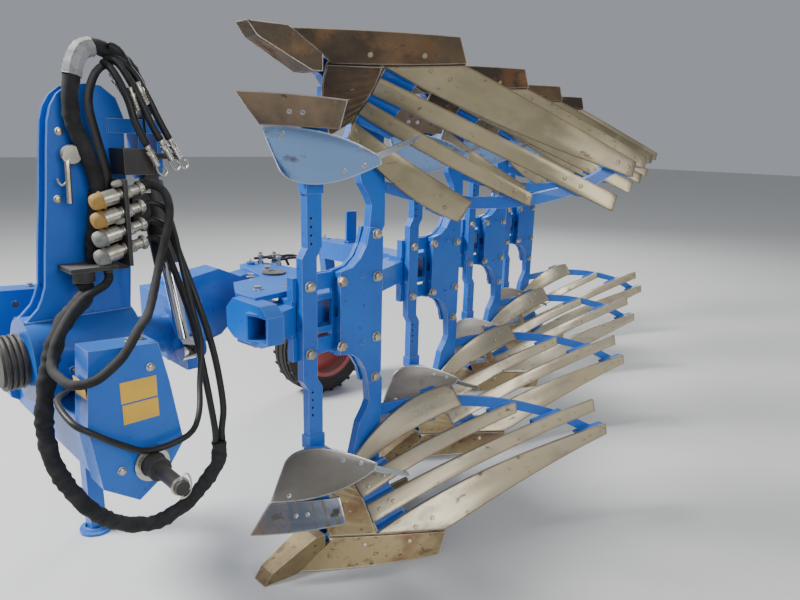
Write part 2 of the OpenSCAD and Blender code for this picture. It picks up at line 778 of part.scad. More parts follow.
module wheel_bracket() color(blue) {
    near = wheel_pivot_x + 60;
    far = wheel_pivot_x - 60;
    plate_xy([[near, wheel_arm_y + 36], [near, beam_right(near)], [far, beam_right(far)],
        [far, wheel_arm_y + 36]], axis_height - beam_half, beam_side);
    rod_y(30, wheel_arm_y - 45, wheel_arm_y + 40, wheel_pivot_x, axis_height);
}

wheel_reach = norm([wheel_pivot_x - wheel_x, axis_height - tyre_r]);
wheel_lean = atan2(wheel_pivot_x - wheel_x, axis_height - tyre_r);
module wheel_arm() color(blue)
    translate([wheel_pivot_x, 0, axis_height])
        rotate([0, wheel_lean, 0])
            difference() {
                union() {
                    rod_y(55, wheel_arm_y - 35, wheel_arm_y + 35, 0, 0);
                    block([-35, wheel_arm_y - 25, -wheel_reach], [35, wheel_arm_y + 25, 0]);
                    rod_y(45, wheel_arm_y - 40, wheel_arm_y + 25, 0, -wheel_reach);
                    rod_y(wheel_axle_r, wheel_y - 60, wheel_arm_y, 0, -wheel_reach);
                }
                rod_y(30 + seat, wheel_arm_y - 60, wheel_arm_y + 60, 0, 0);
            }

module wheel_rim() color("firebrick")
    difference() {
        union() {
            difference() {
                rod_y(rim_r, wheel_y - tyre_width / 2 + 15, wheel_y + tyre_width / 2 - 15,
                    wheel_x, tyre_r);
                for (y = [wheel_y - tyre_width, wheel_y + 12])
                    rod_y(rim_r - 12, y, y + tyre_width - 12, wheel_x, tyre_r);
            }
            rod_y(wheel_axle_r + 25, wheel_y - 55, wheel_y + 55, wheel_x, tyre_r);
        }
        rod_y(wheel_axle_r + seat, wheel_y - 100, wheel_y + 100, wheel_x, tyre_r);
    }

module wheel_tyre() color("black")
    translate([wheel_x, wheel_y, tyre_r])
        rotate([90, 0, 0])
            rotate_extrude()
                polygon([
                    [rim_r + seat, -tyre_width / 2 + 12], [rim_r + 40, -tyre_width / 2],
                    [tyre_r - 35, -tyre_width / 2], [tyre_r, -tyre_width / 2 + 35],
                    [tyre_r, tyre_width / 2 - 35], [tyre_r - 35, tyre_width / 2],
                    [rim_r + 40, tyre_width / 2], [rim_r + seat, tyre_width / 2 - 12]
                ]);

// Hoses

module hose_sleeve() color("black")
    cord(SLEEVE_ROUTE, 22, [0, 1, 0], parts = 1);

module hose_bundle() color("black")
    cord(BUNDLE_ROUTE, 20, [0, 1, 0], parts = 1);

module hose_front_loop() color("black")
    cord(FRONT_LOOP_ROUTE, 10, [0.3, 1, 0], parts = 1);

module hose_thin_loop() color("black")
    cord(THIN_LOOP_ROUTE, 8, [0.3, 1, 0], parts = 1);

module hose_pair() color("black") {
    cord(PAIR_LOW_ROUTE, 10, [0, 1, 0], parts = 1);
    cord(PAIR_HIGH_ROUTE, 10, [0, 1, 0], parts = 1);
}

module place() translate([-origin_x, -origin_y, 0]) children();

place() tower();
place() turnover_housing();
place() rotary_union();
place() cross_beam();
place() link_brackets();
place() link_pins();
place() top_link_pin();
place() coupler_rack();
place() couplers();
place() hose_arm();
place() cylinder_barrel();
place() cylinder_rod();
place() stand();
place() turnover_shaft();
place() swing_arm();
place() main_beam();
place() at_station(1) carrier();  // carrier_1
place() at_station(2) carrier();  // carrier_2
place() at_station(3) carrier();  // carrier_3
place() at_station(4) carrier();  // carrier_4
place() at_station(1) legs();  // legs_1
place() at_station(2) legs();  // legs_2
place() at_station(3) legs();  // legs_3
place() at_station(4) legs();  // legs_4
place() at_station(1) shares();  // shares_1
place() at_station(2) shares();  // shares_2
place() at_station(3) shares();  // shares_3
place() at_station(4) shares();  // shares_4
place() at_station(1) strips();  // strips_1
place() at_station(2) strips();  // strips_2
place() at_station(3) strips();  // strips_3
place() at_station(4) strips();  // strips_4
place() at_station(1) stalk();  // stalk_1
place() at_station(2) stalk();  // stalk_2
place() at_station(3) stalk();  // stalk_3
place() at_station(4) stalk();  // stalk_4
place() at_station(1) skimmers();  // skimmers_1
place() at_station(2) skimmers();  // skimmers_2
place() at_station(3) skimmers();  // skimmers_3
place() at_station(4) skimmers();  // skimmers_4
place() wheel_bracket();
place() wheel_arm();
place() wheel_rim();
place() wheel_tyre();
place() hose_sleeve();
place() hose_bundle();
place() hose_front_loop();
place() hose_thin_loop();
place() hose_pair();
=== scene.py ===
# %% [markdown]
# # A mounted reversible plough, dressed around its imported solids
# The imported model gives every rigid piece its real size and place. This script adds what a
# photograph shows on top of that: paint, worn steel, hoses, bolts, caps, plates and tyre
# lugs. Everything is in metres: +X is the way of travel, +Y the left side, +Z up.

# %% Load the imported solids
import json
import math

import bmesh
import bpy
from mathutils import Matrix, Vector


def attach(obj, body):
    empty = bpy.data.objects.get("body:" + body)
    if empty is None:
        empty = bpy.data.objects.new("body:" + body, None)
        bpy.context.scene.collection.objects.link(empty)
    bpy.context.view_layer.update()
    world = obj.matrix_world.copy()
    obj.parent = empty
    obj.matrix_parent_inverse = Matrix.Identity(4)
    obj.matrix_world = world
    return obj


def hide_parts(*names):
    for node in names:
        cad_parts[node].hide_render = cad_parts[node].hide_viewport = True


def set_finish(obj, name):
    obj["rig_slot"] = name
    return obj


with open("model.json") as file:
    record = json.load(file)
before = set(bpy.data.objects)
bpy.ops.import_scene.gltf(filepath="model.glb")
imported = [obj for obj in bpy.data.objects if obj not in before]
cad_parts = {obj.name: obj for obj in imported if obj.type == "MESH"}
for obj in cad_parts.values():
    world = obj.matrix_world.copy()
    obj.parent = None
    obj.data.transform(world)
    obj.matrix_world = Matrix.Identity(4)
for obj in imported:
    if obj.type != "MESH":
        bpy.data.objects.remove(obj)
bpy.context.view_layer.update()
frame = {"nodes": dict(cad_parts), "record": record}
nodes = frame["nodes"]

# %% [markdown]
# The plough was drawn from its first station's cheek bolt, so a drawing place is moved by
# one fixed step to reach the model's own origin. Keeping that step in one helper lets the
# rest of the script use the same round numbers as the drawing, in millimetres.

# %% Places in the drawing, in millimetres, brought to metres in the model
AXIS_HEIGHT, AXIS_Y = 943, -190
STATION_STEP = (-900, -380)
ORIGIN = (-1295, -427.835)        # where the model's origin lies in the drawing


def place(x, y, z):
    return Vector(((x - ORIGIN[0]) / 1000, (y - ORIGIN[1]) / 1000, z / 1000))


def mirrored(z, upper):
    """The height of the same place on an upper body, the lower one's mirror image."""
    return 2 * AXIS_HEIGHT - z if upper else z


def at_station(number, x, y, z, upper=False):
    """A place on the first station, moved to another one, on its lower or upper body."""
    dx, dy = (step * (number - 1) for step in STATION_STEP)
    return place(x + dx, y + dy, mirrored(z, upper))


print("turnover axis height", place(0, 0, AXIS_HEIGHT).z)

# %% [markdown]
# The camera stands at the front left of the plough, a little above the beam, and looks about
# 14 degrees down. Its place, turn, small roll and lens come from fitting the repeated bolts
# of the four stations, so that the render frames the plough as the photograph does.

# %% Camera
CAMERA_SPOT = (2.741, 2.1778, 1.565)
YAW, PITCH, ROLL = (math.radians(a) for a in (225.13, -14.01, 1.4))
LENS, SENSOR_WIDTH = 29.16, 36
forward = Vector((math.cos(YAW) * math.cos(PITCH), math.sin(YAW) * math.cos(PITCH),
                  math.sin(PITCH)))
level_right = Vector((math.sin(YAW), -math.cos(YAW), 0))
level_up = level_right.cross(forward)
camera_right = level_right * math.cos(ROLL) + level_up * math.sin(ROLL)
camera_up = -level_right * math.sin(ROLL) + level_up * math.cos(ROLL)
camera_data = bpy.data.cameras.new("yard_camera")
camera_data.sensor_width, camera_data.lens, camera_data.clip_end = SENSOR_WIDTH, LENS, 100
camera = bpy.data.objects.new("yard_camera", camera_data)
bpy.context.scene.collection.objects.link(camera)
turn = Matrix((camera_right, camera_up, -forward)).transposed()
camera.matrix_world = Matrix.Translation(CAMERA_SPOT) @ turn.to_4x4()
bpy.context.scene.camera = camera
print("camera lens", camera_data.lens)

# %% [markdown]
# ## Hoses
# Hydraulic hoses run along the headstock, some bare and some bundled in a cloth sleeve. A hose
# is a stiff rubber tube, so it runs in wide even bends between the points that hold it. Each
# is swept as a tube along a smooth line through the drawing's own points, with a map whose V
# runs along it. A swept tube was chosen over a curve object because a loose sleeve's folds can
# then be modelled in its skin.

# %% A smooth line through a route, and a tube along it
def smooth_line(route, parts):
    """A rounded line that passes through every point of the route."""
    line = []
    last = len(route) - 1
    for i in range(last):
        p0, p1 = route[max(i - 1, 0)], route[i]
        p2, p3 = route[i + 1], route[min(i + 2, last)]
        for k in range(parts):
            t = k / parts
            line.append(0.5 * (2 * p1 + (p2 - p0) * t + (2 * p0 - 5 * p1 + 4 * p2 - p3) * t * t
                               + (3 * p1 - p0 - 3 * p2 + p3) * t ** 3))
    return line + [route[-1]]


def wrinkles(gone, around, phase):
    """How far a loose sleeve's skin stands off or falls in, from -1 to 1."""
    drift = math.sin(gone * 37 + 2.1 * phase)
    folds = math.sin(gone * 150 + 1.5 * math.sin(around + phase) + 2.4 * drift)
    slack = math.sin(gone * 71 + 2 * around + 2.3 * phase)
    rings = math.sin(gone * 330 + 3 * around)
    return 0.5 * folds + 0.33 * slack + 0.17 * rings


CORNERS = 20          # round a hose
LINE_PARTS, FOLD_PARTS = 4, 5


def hose(name, route, radius, material_slot, wrinkle=0.0):
    """Sweep a tube on the headstock, its radius in metres; back come it, its line and length."""
    line = smooth_line([place(*p) for p in route], LINE_PARTS)
    finer = smooth_line(line, FOLD_PARTS) if wrinkle else line
    mesh = bpy.data.meshes.new(name)
    shape = bmesh.new()
    uv = shape.loops.layers.uv.new("along")
    side = Vector((0, 0, 1)).cross(line[1] - line[0])
    side = side.normalized() if side.length > 1e-6 else Vector((0, 1, 0))
    rings, gone = [], [0.0]
    for i, point in enumerate(finer):
        if i:
            gone.append(gone[-1] + (point - finer[i - 1]).length)
        ahead = finer[min(i + 1, len(finer) - 1)] - finer[max(i - 1, 0)]
        side = (side - ahead * side.dot(ahead) / ahead.length_squared).normalized()
        up = ahead.normalized().cross(side)
        ring = []
        for k in range(CORNERS):
            around = 2 * math.pi * k / CORNERS
            swell = radius * (1 - wrinkle * (0.5 - 0.5 * wrinkles(gone[-1], around, radius * 400)))
            ring.append(shape.verts.new(
                point + swell * (side * math.cos(around) + up * math.sin(around))))
        rings.append(ring)
    for i in range(len(rings) - 1):
        for k in range(CORNERS):
            face = shape.faces.new((rings[i][k], rings[i][(k + 1) % CORNERS],
                                    rings[i + 1][(k + 1) % CORNERS], rings[i + 1][k]))
            for loop, (u, v) in zip(face.loops, ((k, i), (k + 1, i), (k + 1, i + 1), (k, i + 1))):
                loop[uv].uv = (u / CORNERS, gone[v])
    shape.faces.new(list(reversed(rings[0])))
    shape.faces.new(rings[-1])
    bmesh.ops.recalc_face_normals(shape, faces=shape.faces)
    shape.to_mesh(mesh)
    shape.free()
    piece = bpy.data.objects.new(name, mesh)
    bpy.context.scene.collection.objects.link(piece)
    for polygon in mesh.polygons:
        polygon.use_smooth = len(polygon.vertices) == 4
    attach(piece, "headstock")
    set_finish(piece, material_slot)
    print(name, "length", round(gone[-1], 3), "m")
    return piece, line, gone[-1]


# %% The routes, point for point as the drawing has them
TILT, COUPLER_LENGTH = math.radians(75), 130


def coupler_end(k, beyond=0):
    """Where coupler k of the rack ends, or a place beyond that end."""
    reach = COUPLER_LENGTH + beyond
    return (800 - reach * math.sin(TILT), -50, 1382 - 50 * k + reach * math.cos(TILT))


SLEEVE_ROUTE = [
    (842, -80, 1165), (842, -80, 1125), (930, 0, 1080), (975, 25, 1000), (1000, 30, 900),
    (1008, 30, 820), (1000, 30, 735), (975, 30, 655), (925, 30, 560), (865, 30, 492),
    (795, 30, 450), (725, 35, 437), (635, 45, 475), (565, 70, 560), (548, 75, 610), (548, 75, 650)]
BUNDLE_ROUTE = [
    (606, -165, 1600.3), (606, -165, 1660), (650, -150, 1740), (705, -140, 1775),
    (762, -130, 1780), (800, -122, 1740), (818, -118, 1670), (820, -118, 1590),
    (793, -118, 1510), (770, -118, 1420), (784, -118, 1320), (796, -118, 1255),
    (796, -118, 1207.3)]
FRONT_LOOP_ROUTE = [
    coupler_end(0), coupler_end(0, 25), (625, -20, 1400), (640, 30, 1340), (690, 65, 1230),
    (765, 150, 1120), (830, 232, 1100), (885, 266, 1052), (945, 268, 1010), (990, 245, 998),
    (1000, 180, 997), (998, 110, 1010), (965, 65, 1065), (890, 10, 1130), (800, -60, 1150),
    (778, -75, 1165), (778, -75, 1185)]
THIN_LOOP_ROUTE = [
    coupler_end(1), coupler_end(1, 25), (622, -30, 1355), (625, 20, 1300), (630, 70, 1200),
    (622, 100, 1090), (610, 115, 990), (637, 150, 894), (680, 220, 830), (735, 262, 798),
    (838, 264, 790), (909, 264, 830), (972, 264, 880), (1003, 235, 905), (1000, 130, 925),
    (945, 40, 915), (900, -10, 930), (900, -50, 930)]
PAIR_LOW_ROUTE = [
    coupler_end(3), coupler_end(3, 25), (630, -35, 1255), (625, -5, 1200), (612, 40, 1100),
    (598, 60, 1012), (572, 60, 850), (559, 75, 700), (559, 75, 650)]
PAIR_HIGH_ROUTE = [
    coupler_end(2), coupler_end(2, 25), (618, -25, 1295), (610, 15, 1230), (590, 80, 1080),
    (566, 88, 982), (545, 85, 880), (530, 80, 760), (536, 75, 690), (536, 75, 650)]
# name, route, radius in mm, slot, the node it stands for, how wrinkled
HOSES = [
    ("cloth_sleeve", SLEEVE_ROUTE, 25, "sleeve_cloth", "hose_sleeve", 0.24),
    ("hose_bundle_sleeve", BUNDLE_ROUTE, 23, "sleeve_cloth", "hose_bundle", 0.16),
    ("front_loop", FRONT_LOOP_ROUTE, 12, "sleeve_cloth", "hose_front_loop", 0.10),
    ("thin_loop", THIN_LOOP_ROUTE, 8, "hose_rubber", "hose_thin_loop", 0.0),
    ("pair_low", PAIR_LOW_ROUTE, 10, "hose_rubber", "hose_pair", 0.0),
    ("pair_high", PAIR_HIGH_ROUTE, 10, "hose_rubber", "hose_pair", 0.0),
]
hoses = {}
for name, route, radius, material_slot, node, wrinkle in HOSES:
    piece, line, length = hose(name, route, radius / 1000, material_slot, wrinkle)
    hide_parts(node)
    hoses[name] = piece

# %% [markdown]
# ## Floor and light
# The plough stands on a plain pale floor under soft light, as on an overcast day. A lamp's
# size sets how soft its shadows are, so the sky is bright and the three lamps are large discs.

# %% Floor, sky and lamps
bpy.ops.object.select_all(action="DESELECT")
bpy.ops.mesh.primitive_plane_add(size=80, location=(0, 0, 0))
floor = bpy.context.active_object
floor.name = "studio_floor"
floor_paint = bpy.data.materials.new("floor_paint")
floor_paint.use_nodes = True
floor_shader = floor_paint.node_tree.nodes["Principled BSDF"]
floor_shader.inputs["Base Color"].default_value = (0.62, 0.62, 0.60, 1)
floor_shader.inputs["Roughness"].default_value = 0.9
floor.data.materials.append(floor_paint)

world = bpy.data.worlds.new("overcast_sky")
bpy.context.scene.world = world
world.use_nodes = True
sky = world.node_tree.nodes["Background"]
sky.inputs["Color"].default_value = (0.86, 0.91, 1.0, 1)
sky.inputs["Strength"].default_value = 0.36


def soft_lamp(name, where, towards, size, power):
    data = bpy.data.lights.new(name, "AREA")
    data.shape, data.size, data.energy = "DISK", size, power
    lamp = bpy.data.objects.new(name, data)
    lamp.location = where
    lamp.rotation_mode = "QUATERNION"
    lamp.rotation_quaternion = (Vector(towards) - Vector(where)).to_track_quat("-Z", "Y")
    bpy.context.scene.collection.objects.link(lamp)


soft_lamp("key_lamp", (5.2, -2.6, 6.2), (0.3, 0.1, 0.9), 2.2, 1050)
soft_lamp("fill_lamp", (2.0, 7.0, 3.6), (-0.2, 0, 0.9), 4.5, 230)
soft_lamp("back_lamp", (-5.0, -3.5, 5.0), (-0.5, 0, 1.0), 4.0, 260)
print("lamps set")

# %% [markdown]
# ## Shared effects
# Paint chips off at edges, dust lies on what faces up, steel gets blotches and rust. On the blue
# paint the edge mask and the up-facing mask also carry painted highlights: light-blue edges and
# lighter tops. Each such effect is a node group that puts out a mask, so that every finish can use
# it with its own amounts. The groups hold no shader: the shader stays in each finish.

# %% Small helpers for node trees
def nodes_of(tree, *wanted):
    return [tree.nodes.new("ShaderNode" + kind) for kind in wanted]


def set_math(node, operation, second=None, clamp=False):
    node.operation, node.use_clamp = operation, clamp
    if second is not None:
        node.inputs[1].default_value = second


def set_inputs(node, **values):
    """Set a node's inputs by their labels, with _ for a space."""
    for label, value in values.items():
        node.inputs[label.replace("_", " ")].default_value = value


def wire(tree, *links):
    """Each link is (from node, its output, to node, its input)."""
    for source, output, target, socket in links:
        tree.links.new(source.outputs[output], target.inputs[socket])


def new_effect(name, **inputs):
    tree = bpy.data.node_groups.new(name, "ShaderNodeTree")
    for label, value in inputs.items():
        socket = tree.interface.new_socket(label, in_out="INPUT", socket_type="NodeSocketFloat")
        socket.default_value = value
    tree.interface.new_socket("Mask", in_out="OUTPUT", socket_type="NodeSocketFloat")
    return tree, tree.nodes.new("NodeGroupInput"), tree.nodes.new("NodeGroupOutput")


# %% Worn and lit edges: where a rounded normal differs from the true one, broken up by noise; it masks bare metal, and on the blue paint also a painted highlight
edges_worn_and_lit, given, result = new_effect("worn_and_lit_edges", Width=0.004, Amount=1.0, Grain=60.0)
bevel, geometry, dot, less, widen, grain, coords, break_up, limits = nodes_of(
    edges_worn_and_lit, "Bevel", "NewGeometry", "VectorMath", "Math", "Math", "TexNoise", "TexCoord", "Math",
    "MapRange")
bevel.samples = 4
dot.operation = "DOT_PRODUCT"
set_math(less, "SUBTRACT")
less.inputs[0].default_value = 1.0
set_math(widen, "MULTIPLY", 9.0)
set_math(break_up, "MULTIPLY")
set_inputs(grain, Detail=5)
set_inputs(limits, From_Min=0.28, From_Max=0.62)
wire(edges_worn_and_lit, (given, "Width", bevel, "Radius"), (bevel, "Normal", dot, 0),
     (geometry, "True Normal", dot, 1), (dot, "Value", less, 1), (less, 0, widen, 0),
     (coords, "Object", grain, "Vector"), (given, "Grain", grain, "Scale"),
     (widen, 0, break_up, 0), (grain, "Fac", break_up, 1), (break_up, 0, limits, "Value"),
     (given, "Amount", limits, "To Max"), (limits, "Result", result, "Mask"))

# %% Dust and lit tops: what faces up, plus a little everywhere, broken up by noise; real dust, and on the blue paint also painted light on the tops
dust_and_lit_tops, given, result = new_effect("settled_dust_and_lit_tops", Amount=0.5, Everywhere=0.1, Scale=7.0)
geometry, split, facing, noise, coords, both, broken, amount = nodes_of(
    dust_and_lit_tops, "NewGeometry", "SeparateXYZ", "MapRange", "TexNoise", "TexCoord", "Math", "Math",
    "Math")
set_inputs(facing, From_Min=0.1, From_Max=0.95)
set_inputs(noise, Detail=8, Roughness=0.65)
set_math(both, "ADD")
set_math(broken, "MULTIPLY")
set_math(amount, "MULTIPLY", clamp=True)
wire(dust_and_lit_tops, (geometry, "Normal", split, 0), (split, "Z", facing, "Value"),
     (coords, "Object", noise, "Vector"), (given, "Scale", noise, "Scale"),
     (facing, "Result", both, 0), (given, "Everywhere", both, 1), (both, 0, broken, 0),
     (noise, "Fac", broken, 1), (broken, 0, amount, 0), (given, "Amount", amount, 1),
     (amount, 0, result, "Mask"))

# %% Blotches: cloudy patches with a hard or a soft border
blotch, given, result = new_effect("blotches", Scale=4.0, Start=0.45, End=0.6, Stretch=1.0)
coords, combine, mapping, noise, limits = nodes_of(
    blotch, "TexCoord", "CombineXYZ", "Mapping", "TexNoise", "MapRange")
set_inputs(combine, Y=1.0, Z=1.0)
set_inputs(noise, Detail=9, Roughness=0.6)
wire(blotch, (given, "Stretch", combine, "X"), (coords, "Object", mapping, "Vector"),
     (combine, 0, mapping, "Scale"), (mapping, 0, noise, "Vector"),
     (given, "Scale", noise, "Scale"), (noise, "Fac", limits, "Value"),
     (given, "Start", limits, "From Min"), (given, "End", limits, "From Max"),
     (limits, "Result", result, "Mask"))

# %% Height: how a finish changes from the lower bottoms to the upper ones
height, given, result = new_effect("height_tone", From=0.9, To=1.3)
coords, split, limits = nodes_of(height, "TexCoord", "SeparateXYZ", "MapRange")
wire(height, (coords, "Object", split, 0), (split, "Z", limits, "Value"),
     (given, "From", limits, "From Min"), (given, "To", limits, "From Max"),
     (limits, "Result", result, "Mask"))
print("effects:", [group.name for group in bpy.data.node_groups])

# %% [markdown]
# ## Finishes
# A finish is layers from the bottom up: a ground colour, then patches, then dust, then bare or
# rusty metal at the edges. On the blue paint the dust layer is partly painted light on the tops,
# and a light-blue edge layer is a painted highlight. One helper stacks colours by masks and does
# the same for roughness, so that a bare edge also shines differently from the paint around it.

# %% Stack layers of colour and roughness over a shader
def effect(tree, group, values):
    """Place an effect, with values for its inputs in their order."""
    node = tree.nodes.new("ShaderNodeGroup")
    node.node_tree = group
    for socket, value in zip(node.inputs, values):
        socket.default_value = value
    return node.outputs["Mask"]


COLOUR_INPUTS, NUMBER_INPUTS = (6, 7), (2, 3)      # a Mix node's own sockets, by kind
COLOUR_OUTPUT, NUMBER_OUTPUT = 2, 0
SPECULAR, BUMP_DEPTH = 0.36, 0.002


def finish_of(name, ground, roughness, metallic, layers, bump=0.0, bump_scale=90.0, coat=0.0):
    """A layer is (effect, its values, colour, roughness, metallic)."""
    material = bpy.data.materials.new(name)
    material.use_nodes = True
    tree = material.node_tree
    shader = tree.nodes["Principled BSDF"]
    set_inputs(shader, Coat_Weight=coat, Specular_IOR_Level=SPECULAR)
    colour, rough, metal = None, None, None
    for group, values, tint, tint_rough, tint_metal in layers:
        mask = effect(tree, group, values)
        mixers = nodes_of(tree, "Mix", "Mix", "Mix")
        for mixer, kind, low, high, below in zip(
                mixers, ("RGBA", "FLOAT", "FLOAT"), (ground, roughness, metallic),
                (tint, tint_rough, tint_metal), (colour, rough, metal)):
            mixer.data_type = kind
            first, second = COLOUR_INPUTS if kind == "RGBA" else NUMBER_INPUTS
            tree.links.new(mask, mixer.inputs["Factor"])
            if below is None:
                mixer.inputs[first].default_value = (*low, 1) if kind == "RGBA" else low
            else:
                tree.links.new(below, mixer.inputs[first])
            mixer.inputs[second].default_value = (*high, 1) if kind == "RGBA" else high
        colour = mixers[0].outputs[COLOUR_OUTPUT]
        rough, metal = (mixer.outputs[NUMBER_OUTPUT] for mixer in mixers[1:])
    tree.links.new(colour, shader.inputs["Base Color"])
    tree.links.new(rough, shader.inputs["Roughness"])
    if any(layer[4] != metallic for layer in layers):
        tree.links.new(metal, shader.inputs["Metallic"])
    else:
        set_inputs(shader, Metallic=metallic)
    if bump:
        coords, noise, bumps = nodes_of(tree, "TexCoord", "TexNoise", "Bump")
        set_inputs(noise, Scale=bump_scale, Detail=6)
        set_inputs(bumps, Strength=bump, Distance=BUMP_DEPTH)
        wire(tree, (coords, "Object", noise, "Vector"), (noise, "Fac", bumps, "Height"),
             (bumps, "Normal", shader, "Normal"))
    return material
